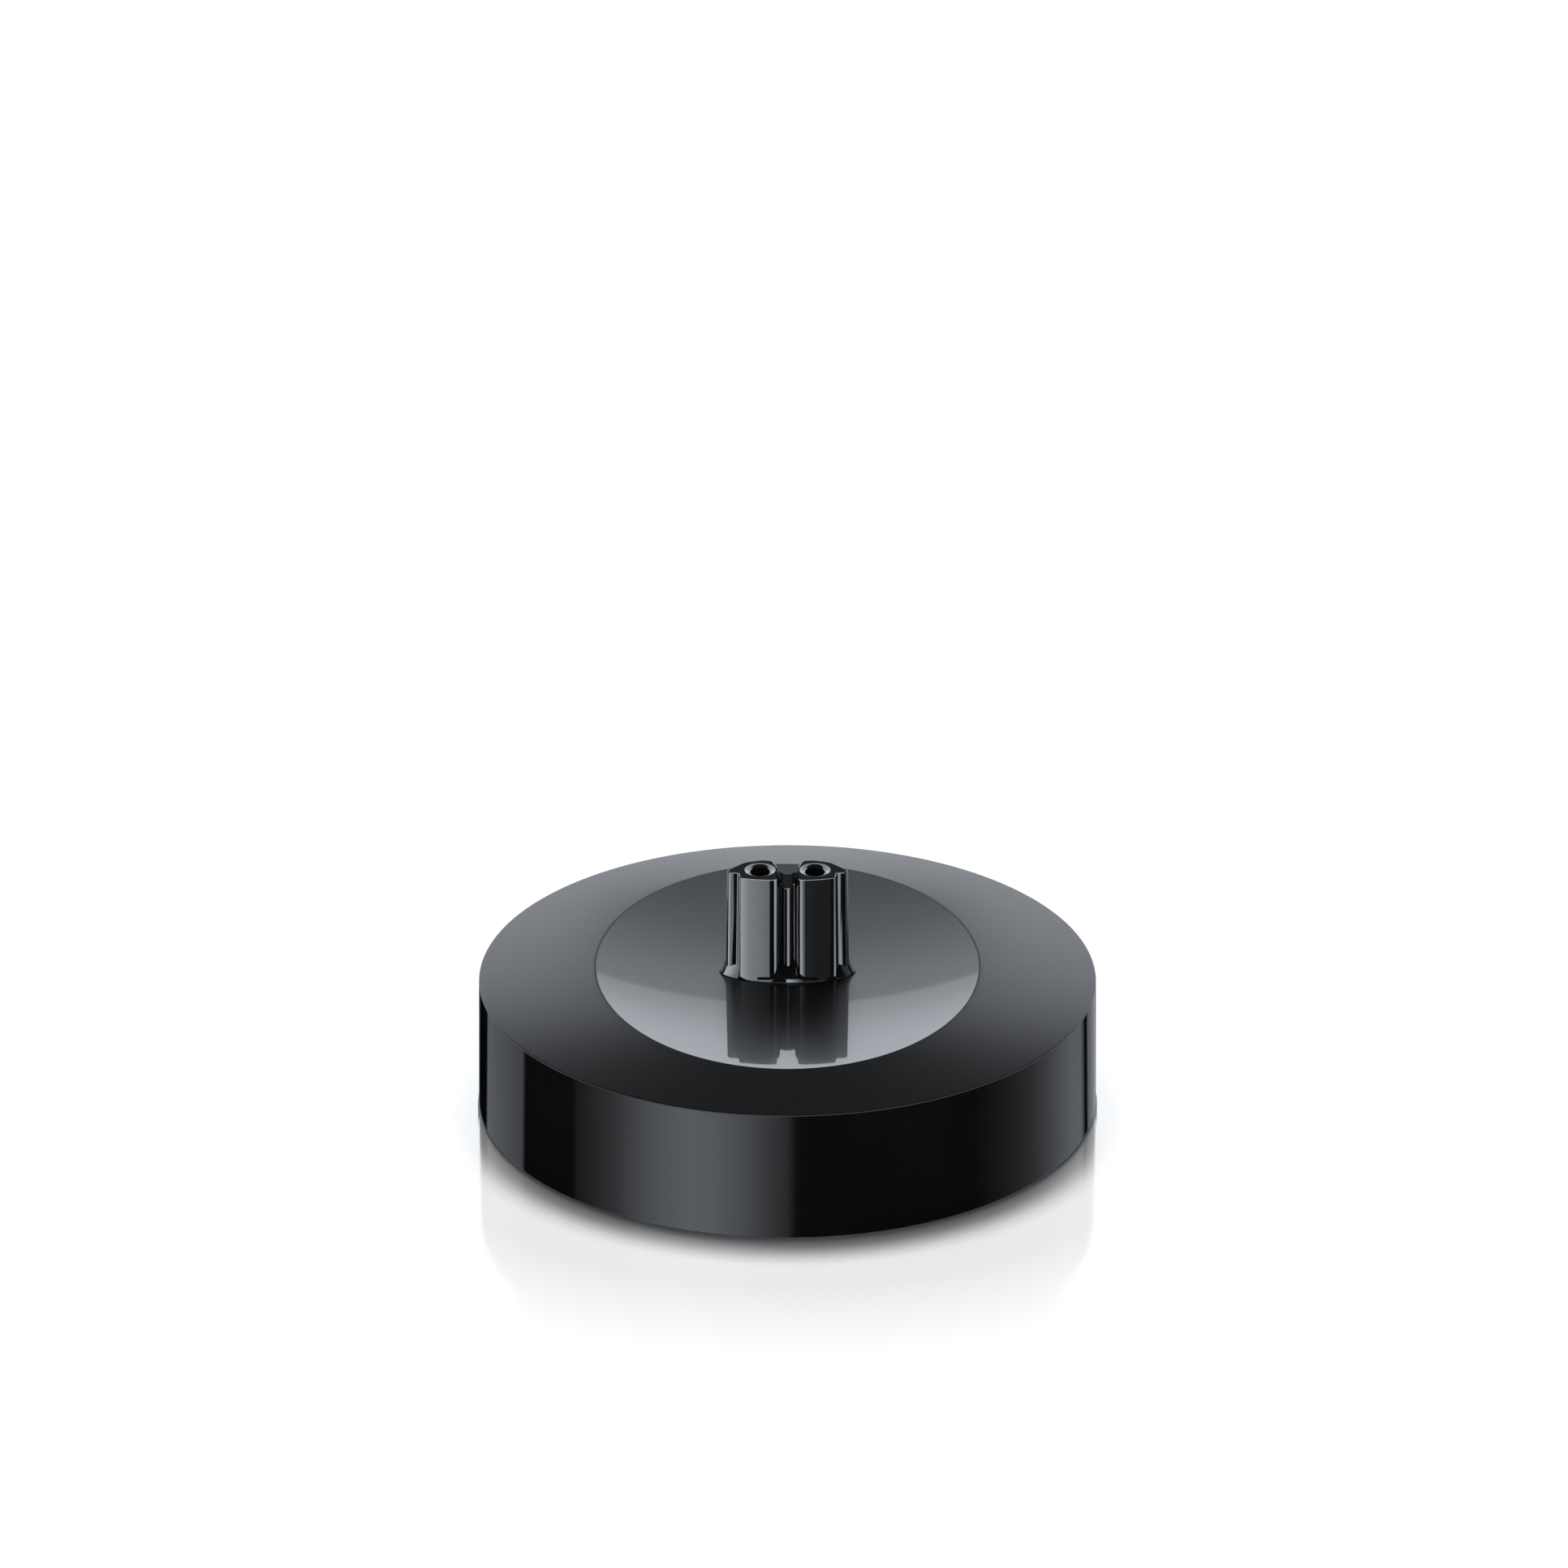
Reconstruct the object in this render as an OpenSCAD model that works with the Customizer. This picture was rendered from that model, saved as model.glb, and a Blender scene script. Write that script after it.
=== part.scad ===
// Round charging stand for a shaver: a weighted puck with a two-pole plug standing in its middle.
// The origin is on the table under the centre. +Z is up, -Y is the front, and the cord inlet is at +Y.

/* [Puck] */
// Diameter of the puck at its upper rim
stand_d = 78; // [74:0.5:96]
// Height of the side wall
wall_h = 17; // [16:0.5:24]
// How much further out the wall stands at its foot than at its rim
wall_flare = 0.15; // [0:0.05:0.5]
// Thickness of the side wall
wall_t = 2.4; // [2:0.1:2.8]
// Thickness of the roof along the rim
roof_t = 2; // [1.6:0.1:3]
// Bevel along the rim
rim_bevel = 0.2; // [0.1:0.05:0.5]

/* [Seat] */
// Width of the polished seat, side to side
seat_w = 48.4; // [40:0.2:56]
// Length of the polished seat, front to back
seat_l = 59; // [46:0.5:62]
// Rise of the seat above the rim
seat_rise = 1.7; // [1.2:0.1:3]
// Thickness of the seat plate
seat_t = 1; // [0.8:0.1:1.4]
// Thickness of the adhesive film under the seat
film_t = 0.2; // [0.1:0.05:0.3]

/* [Plug] */
// Height of the plug above the seat
plug_h = 14.3; // [12:0.1:18]
// Width of the plug over its wings, where it leaves the seat
plug_w = 15.7; // [15:0.1:17]
// Width of the plug's top as a share of its width at the seat
plug_taper = 0.975; // [0.95:0.005:1]
// How far the plug stands in front of the puck's centre
plug_forward = 2; // [0:0.1:4]
// Distance between the two poles
pole_pitch = 6.9; // [6.6:0.1:7.2]
// Diameter of the pins that enter the plug
pole_d = 2.4; // [2.2:0.1:2.5]
// Diameter of the funnel at the mouth of each socket
mouth_d = 3.9; // [3.4:0.1:4]
// Width of the scoop between the two lobes
scoop_w = 2.7; // [2.2:0.1:2.9]
// Depth of the scoop below the lobes' tops
scoop_depth = 1.9; // [1.6:0.1:3]
// Height of the sloping skirt round the plug's foot
skirt_h = 1.8; // [1.2:0.1:2.6]
// Half width of the skirt beyond the plug's wings
skirt_out = 0.65; // [0.4:0.05:1]
// Depth of the skirt, front to back
skirt_l = 6.6; // [6.2:0.1:7.4]

/* [Contacts] */
// Outer diameter of a contact sleeve
sleeve_d = 3.4; // [3.1:0.1:3.5]
// Depth of the pin socket in a contact sleeve
socket_depth = 12; // [10:0.5:14]
// Width of the spring slit in a contact sleeve
slit_w = 0.5; // [0.3:0.1:0.7]
// Diameter of the soldering tails
tail_d = 1.6; // [1.2:0.1:1.8]
// Thickness of the retainer under the contacts
retainer_t = 2; // [1.6:0.1:3]
// Outer diameter of a lead's insulation
lead_d = 1.6; // [1.2:0.1:1.8]

/* [Cord inlet] */
// Width of the inlet's recess
inlet_w = 16; // [15.4:0.1:17]
// Height of the inlet's recess
inlet_h = 7.2; // [6.8:0.1:7.6]
// Depth of the inlet's recess
inlet_depth = 11; // [9.5:0.5:13]
// Thickness of the inlet's wall
inlet_wall = 1.4; // [1.2:0.1:1.8]
// Length of the inlet's pins inside the recess
pin_len = 9.2; // [8:0.1:9.4]

/* [Base] */
// Thickness of the base plate
base_t = 2; // [1.8:0.1:3]
// How far the base plate sits above the wall's lower edge
base_in = 0.3; // [0.2:0.1:0.5]
// Width of the rebate that takes the base plate
rebate_w = 1.2; // [1:0.1:1.3]
// Thickness of the seal round the base plate
seal_t = 0.6; // [0.4:0.1:1]
// Thickness of the ballast plate
ballast_t = 4.5; // [2:0.5:5]
// Distance of the ballast plate's edge from the rim
ballast_inset = 12.5; // [12:0.5:16]
// Diameter of a foot
foot_d = 8; // [6:0.5:9]
// Depth of a foot in its recess
foot_in = 1; // [0.6:0.1:1.2]
// How far the feet stand out below the wall
foot_out = 0.5; // [0.3:0.1:1]
// Distance of the feet's centres from the rim
foot_inset = 9.5; // [9:0.5:12]
// Direction of a foot from the side-to-side axis
foot_angle = 54; // [50:1:60]
// Distance of the base screws from the rim
screw_inset = 8; // [7.5:0.5:8.5]
// Direction of a base screw from the side-to-side axis
screw_angle = 18; // [12:1:22]

/* [Hidden] */
$fn = 96;

// Clearance between pieces that are slid together
slide_gap = 0.1;
// Clearance round a pin in its socket, on the radius
socket_gap = 0.07;
// Free length of a hole beyond the end of its screw
screw_gap = 0.4;
// How far a gasket or the retainer stays inside the outline that it lies on
gasket_in = 0.3;
// Overlap that makes a cut pass through its face
cut = 0.5;

// Levels of the puck
rim_z = foot_out + wall_h;
seat_z = rim_z + seat_rise;
roof_z = rim_z - roof_t;
film_z = seat_z - seat_t - film_t;
base_z = foot_out + base_in;
floor_z = base_z + base_t;
ledge_z = floor_z + seal_t;

// Edges of the puck: the bevel at its hem, the flat land inside the rim and the one round the seat
hem_bevel = 0.2;
rim_land = 0.05;
seat_land = 0.15;

// How far the film stays inside the seat's edge and clear of the skirt
film_in = 0.8;
film_clear = 1.5;

// Radii of the puck
rim_r = stand_d / 2;
hem_r = rim_r + wall_flare;
cavity_r = rim_r - wall_t;
rebate_r = cavity_r + rebate_w;
foot_r = rim_r - foot_inset;
screw_r = rim_r - screw_inset;
ballast_r = rim_r - ballast_inset;

// Plug, its contacts and the stack that carries them, measured up from the base plate
plug_y = -plug_forward;
section_w = 15.7;
scoop_reach = 6;
plug_top = seat_z + plug_h;
pole_x = pole_pitch / 2;
socket_r = pole_d / 2 + socket_gap;
mouth_depth = 0.3;
mouth_slope = (mouth_d / 2 - socket_r) / mouth_depth;
socket_lip = 1.78;
rib_r = 0.8;
rib_y = -0.75;
web_w = 3.8;
web_l = 2.6;
web_shelf = 0.3;
sleeve_r = sleeve_d / 2;
tail_r = tail_d / 2;
tail_len = 1.6;
tail_clear = 1.6;
tail_z = floor_z + tail_clear;
slit_foot = 2;
retainer_z = tail_z + tail_len;
ear_z = retainer_z + retainer_t;
ear_t = 2;
boss_z = ear_z + ear_t;
sleeve_top = plug_top - mouth_depth - socket_lip;
skirt_w = plug_w + 2 * skirt_out;
skirt_rim = 0.3;
skirt_crest_l = 2.4;
shoulder_out = 1.6;
root_l = skirt_l + 2 * shoulder_out;
gasket_t = 0.8;
shoulder_z = roof_z - gasket_t;
ear_w = 31;
ear_l = 9;
tower_screw_x = 12.4;

// Screws
tower_shank_r = 0.9;
tower_head_r = 1.8;
tower_head_h = 1.2;
tower_bite = 4;
tower_boss_r = 2.6;
tower_hole_r = tower_shank_r + slide_gap;
base_shank_r = 1.1;
base_head_r = 2.2;
base_head_h = 1.5;
base_bite = 7;
base_boss_r = 3;
boss_rib_t = 1.5;
boss_rib_rise = 1;
wall_root = 0.6;
pad_r = 3.4;
pad_h = 1.5;
head_sink = 0.4;
base_seat_z = base_z + base_head_h + head_sink;
slot_w = 0.5;

// Inlet, half way up the wall's free height and from the outside inwards
roof_gap = 0.4;
flange_top = roof_z - roof_gap;
inlet_z = (ledge_z + flange_top) / 2;
nose_w = inlet_w + 2 * inlet_wall;
nose_h = inlet_h + 2 * inlet_wall;
inlet_floor_y = rim_r - inlet_depth;
inlet_back = 2;
inlet_back_y = inlet_floor_y - inlet_back;
flange_out = 2.5;
flange_w = nose_w + 2 * flange_out;
flange_t = 1.6;
inlet_gasket_t = 0.6;
inlet_pad_w = flange_w + 2;
inlet_pad_t = 0.4;
inlet_pad_y = sqrt(pow(cavity_r, 2) - pow(inlet_pad_w / 2, 2)) - inlet_pad_t;
flange_y = inlet_pad_y - inlet_gasket_t - flange_t;
pin_r = pole_d / 2;
collar_r = pin_r + 0.3;
pin_tail = 4.5;
rib_t = 2;
rib_gap = 0.8;

// Ballast plate and its posts
ballast_window_w = ear_w + 2;
ballast_window_l = ear_l + 3;
ballast_channel_w = 12;
ballast_gap = 0.5;
post_r = 1.5;
post_head_r = 2.4;
post_head_h = 0.8;
post_inset = 5;
post_angles = [210, 330, 35, 145];

// Eyelets at the leads' ends
eyelet_r = tail_r + 0.7;
eyelet_h = 1;
eyelet_in = 0.3;

// Leads: how far they lie off the base plate, stand out to the side, come down and climb again
lead_r = lead_d / 2;
lead_lift = 0.02;
lead_side = 0.6;
lead_stub = 0.8;
lead_fall = 6.5;
lead_climb = 5;

// Lower edge of a foot, and the bare recess for a label under the base
foot_bevel = 0.4;
label_w = 30;
label_l = 16;
label_in = 0.3;

// Points on the arc that rounds corner b of the path a, b, c
function corner(a, b, c, r, steps = 6) =
    let (u = (a - b) / norm(a - b), v = (c - b) / norm(c - b))
    let (half = acos(max(-1, min(1, u * v))) / 2)
    let (axis = (u + v) / norm(u + v), reach = r / tan(half))
    let (centre = b + axis * r / sin(half), from = b + u * reach, to = b + v * reach)
    let (a0 = atan2(from[1] - centre[1], from[0] - centre[0]))
    let (a1 = atan2(to[1] - centre[1], to[0] - centre[0]))
    let (turn = (a1 - a0 > 180) ? a1 - a0 - 360 : (a1 - a0 < -180) ? a1 - a0 + 360 : a1 - a0)
    [for (i = [0:steps]) centre + r * [cos(a0 + turn * i / steps), sin(a0 + turn * i / steps)]];

// Closed outline with each corner rounded: a corner is [x, y, radius]
function rounded(corners) =
    let (n = len(corners))
    [for (i = [0:n - 1])
        let (p = corners[(i + n - 1) % n], q = corners[i], s = corners[(i + 1) % n])
        each corner([p[0], p[1]], [q[0], q[1]], [s[0], s[1]], q[2])];

// Right half of the plug's section from the web's front round to its back, section_w wide over the wings
function plug_half() = [
    [0.97, -0.7, 0.1], [1, -2.45, 0.06], [1.51, -3.1, 1.5], [3.8, -2.93, 9], [6.2, -2.4, 0.4],
    [6.4, -0.9, 0.12], [7.5, -0.85, 0.4], [7.85, -0.1, 0.35], [7.1, 0.75, 0.8],
    [5.5, 2.35, 1.8], [3.3, 2.98, 0.9], [1.95, 2.75, 0.5], [1.15, 0.35, 0.2]];

// Whole section at the plug's own width, the left half mirrored from the right
function plug_section() =
    let (right = plug_w / section_w * plug_half(), n = len(right))
    rounded(concat(right, [for (i = [n - 1:-1:0]) [-right[i][0], right[i][1], right[i][2]]]));

// Points of an ellipse
function ellipse(w, l, n = 128) =
    [for (i = [0:n - 1]) [w / 2 * cos(360 * i / n), l / 2 * sin(360 * i / n)]];

// Point on a smooth curve through four points, t from 0 to 1 between b and c
function spline(a, b, c, d, t) =
    0.5 * (2 * b + (c - a) * t + (2 * a - 5 * b + 4 * c - d) * t * t
        + (3 * b - a - 3 * c + d) * t * t * t);

// Smooth path through the points of a route, with a few steps between each two
function smooth(route, steps = 3) =
    let (n = len(route))
    concat([for (i = [0:n - 2], s = [0:steps - 1])
        spline(route[max(0, i - 1)], route[i], route[i + 1], route[min(n - 1, i + 2)], s / steps)],
        [route[n - 1]]);

// Direction of a path at one of its points
function heading(path, i) =
    let (step = path[min(len(path) - 1, i + 1)] - path[max(0, i - 1)])
    step / norm(step);

module disc(z0, z1, r) {
    translate([0, 0, z0])
        cylinder(h = z1 - z0, r = r);
}

module oval(w, l, z0, z1) {
    translate([0, 0, z0])
        linear_extrude(height = z1 - z0)
            polygon(ellipse(w, l));
}

// Flat bar with round ends, lying along X
module stadium(w, l, h) {
    linear_extrude(height = h)
        union() {
            square([w - l, l], center = true);
            translate([(w - l) / 2, 0])
                circle(d = l);
            translate([(l - w) / 2, 0])
                circle(d = l);
        }
}

// The same bar standing on edge, its length along Y from y0 to y1
module stadium_along_y(w, h, y0, y1) {
    translate([0, y1, inlet_z])
        rotate([90, 0, 0])
            stadium(w, h, y1 - y0);
}

// Both places of what is mirrored left and right
module both_sides() {
    children();
    mirror([1, 0, 0])
        children();
}

// The four places of a base screw or a foot
module at_corners(r, angle) {
    for (a = [angle, 180 - angle, 180 + angle, 360 - angle])
        rotate([0, 0, a])
            translate([r, 0, 0])
                children();
}

// Tube along a path that runs mostly front to back
module tube(path, r, sides = 10) {
    rings = [for (i = [0:len(path) - 1])
        let (t = heading(path, i), up = cross(t, [1, 0, 0]) / norm(cross(t, [1, 0, 0])))
        let (side = cross(up, t))
        for (k = [0:sides - 1])
            path[i] + r * (cos(360 * k / sides) * side + sin(360 * k / sides) * up)];
    walls = [for (i = [0:len(path) - 2], k = [0:sides - 1])
        let (a = i * sides + k, b = i * sides + (k + 1) % sides)
        each [[a, a + sides, b], [b, a + sides, b + sides]]];
    last = (len(path) - 1) * sides;
    ends = [[for (k = [0:sides - 1]) k], [for (k = [sides - 1:-1:0]) last + k]];
    polyhedron(points = rings, faces = concat(walls, ends));
}

// Screw standing head down, its head's seat at z = 0
module screw(shank_r, length, head_r, head_h) {
    difference() {
        union() {
            cylinder(h = length - shank_r, r = shank_r);
            translate([0, 0, length - shank_r])
                cylinder(h = shank_r, r1 = shank_r, r2 = shank_r * 0.4);
            translate([0, 0, -head_h])
                cylinder(h = head_h, r1 = head_r * 0.85, r2 = head_r);
        }
        for (a = [0, 90])
            rotate([0, 0, a])
                translate([0, 0, -head_h])
                    cube([head_r * 1.2, slot_w, head_h], center = true);
    }
}

// Solid outside of the puck: flared wall, bevelled rim and the slope up to the oval seat
module puck() {
    slope_d = 2 * (rim_r - rim_bevel - rim_land);
    rotate_extrude($fn = 180)
        polygon([[0, foot_out], [hem_r - hem_bevel, foot_out], [hem_r, foot_out + hem_bevel],
            [rim_r, rim_z - rim_bevel], [rim_r - rim_bevel, rim_z], [0, rim_z]]);
    hull() {
        oval(slope_d, slope_d, rim_z - cut, rim_z);
        oval(seat_w + 2 * seat_land, seat_l + 2 * seat_land, seat_z - seat_land / 4, seat_z);
    }
}

module top_housing() {
    color([0.06, 0.065, 0.07])
        difference() {
            union() {
                difference() {
                    puck();
                    disc(foot_out - cut, roof_z, cavity_r);
                    disc(foot_out - cut, ledge_z, rebate_r);
                }
                base_bosses();
                tower_bosses();
                inlet_pad();
                inlet_ribs();
            }
            oval(seat_w, seat_l, film_z, seat_z + cut);
            translate([0, plug_y, 0])
                oval(skirt_w + 2 * slide_gap, skirt_l + 2 * slide_gap, roof_z - cut, film_z + cut);
            stadium_along_y(nose_w + 2 * slide_gap, nose_h + 2 * slide_gap, flange_y, hem_r + cut);
            at_corners(screw_r, screw_angle)
                disc(floor_z, floor_z + pad_h + base_bite, base_shank_r);
            both_sides()
                translate([tower_screw_x, plug_y, 0])
                    disc(boss_z - cut, boss_z + tower_bite, tower_shank_r);
        }
}

// Posts for the base screws, each tied to the wall by a rib
module base_bosses() {
    rib_z = floor_z + pad_h + boss_rib_rise;
    at_corners(screw_r, screw_angle) {
        disc(floor_z + pad_h, roof_z + cut, base_boss_r);
        translate([0, -boss_rib_t / 2, rib_z])
            cube([cavity_r + wall_root - screw_r, boss_rib_t, roof_z + cut - rib_z]);
    }
}

// Posts that the plug tower's ears are screwed to
module tower_bosses() {
    both_sides()
        translate([tower_screw_x, plug_y, 0])
            disc(boss_z, roof_z + cut, tower_boss_r);
}

// Flat face inside the rear wall, for the inlet's gasket
module inlet_pad() {
    intersection() {
        translate([-inlet_pad_w / 2, inlet_pad_y, ledge_z])
            cube([inlet_pad_w, rim_r, roof_z - ledge_z + cut]);
        disc(ledge_z, roof_z + cut, cavity_r + wall_root);
    }
}

// Ribs that hold the inlet's flange against the rear wall
module inlet_ribs() {
    both_sides()
        translate([nose_w / 2 + rib_gap, flange_y - rib_t, ledge_z])
            cube([(flange_w - nose_w) / 2 - rib_gap, rib_t, roof_z - ledge_z + cut]);
}

module seat_plate() {
    color([0.03, 0.032, 0.035])
        difference() {
            oval(seat_w - slide_gap, seat_l - slide_gap, film_z + film_t, seat_z);
            translate([0, plug_y, 0])
                oval(skirt_w + 2 * slide_gap, skirt_l + 2 * slide_gap, film_z, seat_z + cut);
        }
}

module seat_film() {
    color([0.75, 0.75, 0.72])
        difference() {
            oval(seat_w - 2 * film_in, seat_l - 2 * film_in, film_z, film_z + film_t);
            translate([0, plug_y, 0])
                oval(skirt_w + 2 * film_clear, skirt_l + 2 * film_clear, film_z - cut, film_z + cut);
        }
}

// Section of the plug with the round rib that stands in the notch between its lobes
module plug_outline() {
    share = plug_w / section_w;
    polygon(plug_section());
    translate([0, rib_y * share])
        circle(r = rib_r * share);
}

module plug_tower() {
    color([0.035, 0.037, 0.04])
        translate([0, plug_y, 0])
            difference() {
                union() {
                    translate([0, 0, seat_z])
                        linear_extrude(height = plug_h, scale = plug_taper)
                            plug_outline();
                    translate([-web_w / 2, 0, seat_z])
                        cube([web_w, web_l, plug_h - scoop_depth + web_shelf]);
                    hull() {
                        oval(skirt_w, skirt_l, seat_z, seat_z + skirt_rim);
                        translate([0, 0, seat_z + skirt_h])
                            oval(plug_w - slide_gap, skirt_crest_l, -slide_gap, 0);
                    }
                    oval(skirt_w, skirt_l, ear_z, seat_z + skirt_rim / 2);
                    translate([0, 0, ear_z])
                        stadium(skirt_w + 2 * shoulder_out, root_l, shoulder_z - ear_z);
                    translate([0, 0, ear_z])
                        stadium(ear_w, ear_l, ear_t);
                }
                both_sides()
                    translate([pole_x, 0, 0])
                        pole_bore();
                both_sides()
                    translate([tower_screw_x, 0, 0])
                        disc(ear_z - cut, boss_z + cut, tower_hole_r);
                translate([0, 0, plug_top + scoop_w / 2 - scoop_depth])
                    scoop();
                both_sides()
                    translate([tower_screw_x, 0, 0])
                        disc(boss_z, shoulder_z + cut, tower_boss_r + slide_gap);
            }
}

// Funnel, pin hole and sleeve bore of one pole
module pole_bore() {
    translate([0, 0, plug_top - mouth_depth])
        cylinder(h = mouth_depth + cut, r1 = socket_r, r2 = mouth_d / 2 + cut * mouth_slope);
    disc(sleeve_top - cut, plug_top - mouth_depth / 2, socket_r);
    disc(ear_z - cut, sleeve_top, sleeve_r);
}

// Round-bottomed channel between the lobes, front to back
module scoop() {
    rotate([90, 0, 0])
        cylinder(h = 2 * scoop_reach, d = scoop_w, center = true);
    translate([-scoop_w / 2, -scoop_reach, 0])
        cube([scoop_w, 2 * scoop_reach, scoop_depth + cut]);
}

module tower_gasket() {
    color([0.1, 0.1, 0.1])
        translate([0, plug_y, shoulder_z])
            difference() {
                stadium(skirt_w + 2 * shoulder_out - 2 * gasket_in, root_l - 2 * gasket_in, gasket_t);
                oval(skirt_w + slide_gap, skirt_l + slide_gap, -cut, gasket_t + cut);
            }
}

// Turned sleeve with a blind pin socket, a spring slit and a tail to solder to
module contact() {
    socket_floor = sleeve_top - socket_depth;
    color("gold")
        translate([pole_x, plug_y, 0])
            difference() {
                union() {
                    disc(ear_z, sleeve_top, sleeve_r);
                    disc(tail_z, ear_z, tail_r);
                }
                disc(socket_floor, sleeve_top + cut, socket_r);
                translate([-slit_w / 2, -sleeve_r - cut, socket_floor + slit_foot])
                    cube([slit_w, sleeve_r + cut, socket_depth]);
            }
}

module right_contact() {
    contact();
}

module left_contact() {
    mirror([1, 0, 0])
        contact();
}

module contact_retainer() {
    color([0.85, 0.83, 0.76])
        translate([0, plug_y, 0])
            difference() {
                translate([0, 0, retainer_z])
                    stadium(ear_w - 2 * gasket_in, ear_l - 2 * gasket_in, retainer_t);
                both_sides()
                    translate([tower_screw_x, 0, 0])
                        disc(retainer_z - cut, ear_z + cut, tower_hole_r);
                both_sides()
                    translate([pole_x, 0, 0])
                        disc(retainer_z - cut, ear_z + cut, tail_r);
            }
}

module tower_screws() {
    color("silver")
        both_sides()
            translate([tower_screw_x, plug_y, retainer_z])
                screw(tower_shank_r, retainer_t + ear_t + tower_bite - screw_gap,
                    tower_head_r, tower_head_h);
}

module inlet_socket() {
    color([0.05, 0.05, 0.055])
        difference() {
            intersection() {
                union() {
                    stadium_along_y(nose_w, nose_h, inlet_back_y, hem_r);
                    translate([-flange_w / 2, flange_y, floor_z])
                        cube([flange_w, flange_t, flange_top - floor_z]);
                }
                cylinder(h = roof_z, r = rim_r, $fn = 180);
            }
            stadium_along_y(inlet_w, inlet_h, inlet_floor_y, hem_r + cut);
            both_sides()
                translate([pole_x, inlet_floor_y + cut, inlet_z])
                    rotate([90, 0, 0])
                        cylinder(h = inlet_back + 2 * cut, r = collar_r);
        }
}

module inlet_gasket() {
    color([0.1, 0.1, 0.1])
        difference() {
            translate([-flange_w / 2 + gasket_in, inlet_pad_y - inlet_gasket_t, ledge_z])
                cube([flange_w - 2 * gasket_in, inlet_gasket_t, flange_top - ledge_z]);
            stadium_along_y(nose_w + slide_gap, nose_h + slide_gap, flange_y, rim_r);
        }
}

// Round-nosed pin with a collar in the inlet's back wall and a soldering tail
module pin() {
    color("lightgray")
        translate([pole_x, inlet_floor_y, inlet_z])
            rotate([-90, 0, 0])
                union() {
                    disc(-inlet_back / 2, pin_len - pin_r, pin_r);
                    disc(-inlet_back, 0, collar_r);
                    translate([0, 0, pin_len - pin_r])
                        sphere(r = pin_r);
                    disc(-inlet_back - pin_tail, -inlet_back / 2, tail_r);
                }
}

module right_pin() {
    pin();
}

module left_pin() {
    mirror([1, 0, 0])
        pin();
}

// Insulated lead from a contact's tail to a pin's tail, lying on the base plate between them
module lead(colour) {
    bed_z = floor_z + lead_r + lead_lift;
    eyelet_z = tail_z + eyelet_in;
    eyelet_y = inlet_back_y - pin_tail + eyelet_in;
    start_y = plug_y + eyelet_r - eyelet_in;
    start_z = eyelet_z + eyelet_h / 2;
    end_y = eyelet_y + eyelet_h / 2;
    end_z = inlet_z - eyelet_r + eyelet_in;
    route = [
        [pole_x, start_y, start_z],
        [pole_x, start_y + 2 * lead_stub, start_z],
        [pole_x + lead_side / 2, start_y + lead_stub + lead_fall / 2, (start_z + bed_z) / 2],
        [pole_x + lead_side, start_y + lead_fall, bed_z],
        [pole_x + lead_side, (start_y + lead_fall + end_y - lead_climb) / 2, bed_z],
        [pole_x + lead_side, end_y - lead_climb, bed_z],
        [pole_x + lead_side / 2, end_y - 0.4 * lead_climb, bed_z + lead_side],
        [pole_x, end_y - lead_lift, (bed_z + end_z) / 2 + lead_side / 2],
        [pole_x, end_y, end_z - lead_stub],
        [pole_x, end_y, end_z]];
    color(colour) {
        tube(smooth(route), lead_r);
        eyelet([pole_x, plug_y, eyelet_z], [0, 0, 0]);
        eyelet([pole_x, eyelet_y, inlet_z], [-90, 0, 0]);
    }
}

// Ring of bare wire round a soldering tail
module eyelet(place, turn) {
    translate(place)
        rotate(turn)
            difference() {
                cylinder(h = eyelet_h, r = eyelet_r);
                disc(-cut, eyelet_h + cut, tail_r);
            }
}

module right_lead() {
    lead("firebrick");
}

module left_lead() {
    mirror([1, 0, 0])
        lead("dimgray");
}

// Steel plate with a window for the plug's stack, a channel for the leads and a notch for the inlet
module ballast_plate() {
    color("slategray")
        difference() {
            disc(floor_z, floor_z + ballast_t, ballast_r);
            translate([0, plug_y, floor_z - cut])
                linear_extrude(height = ballast_t + 2 * cut)
                    square([ballast_window_w, ballast_window_l], center = true);
            translate([-ballast_channel_w / 2, 0, floor_z - cut])
                cube([ballast_channel_w, rim_r, ballast_t + 2 * cut]);
            translate([-nose_w / 2 - ballast_gap, inlet_back_y - ballast_gap, floor_z - cut])
                cube([nose_w + 2 * ballast_gap, rim_r, ballast_t + 2 * cut]);
            for (a = post_angles)
                rotate([0, 0, a])
                    translate([ballast_r - post_inset, 0, 0])
                        disc(floor_z - cut, floor_z + ballast_t + cut, post_r + slide_gap);
        }
}

module base_plate() {
    color([0.08, 0.08, 0.085])
        difference() {
            union() {
                disc(base_z, floor_z, rebate_r - slide_gap);
                at_corners(screw_r, screw_angle)
                    disc(floor_z - cut, floor_z + pad_h, pad_r);
                for (a = post_angles)
                    rotate([0, 0, a])
                        translate([ballast_r - post_inset, 0, 0])
                            post();
            }
            at_corners(screw_r, screw_angle) {
                disc(base_z - cut, floor_z + pad_h + cut, base_shank_r + slide_gap);
                disc(base_z - cut, base_seat_z, base_head_r + slide_gap);
            }
            at_corners(foot_r, foot_angle)
                disc(base_z - cut, base_z + foot_in, foot_d / 2);
            translate([0, 0, base_z - cut])
                linear_extrude(height = cut + label_in)
                    square([label_w, label_l], center = true);
        }
}

// Post with its end spread over the ballast plate
module post() {
    disc(floor_z - cut, floor_z + ballast_t, post_r);
    translate([0, 0, floor_z + ballast_t])
        cylinder(h = post_head_h, r1 = post_head_r, r2 = (post_r + post_head_r) / 2);
}

module base_seal() {
    color([0.1, 0.1, 0.1])
        difference() {
            disc(floor_z, ledge_z, rebate_r - slide_gap);
            disc(floor_z - cut, ledge_z + cut, cavity_r + slide_gap);
        }
}

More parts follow.
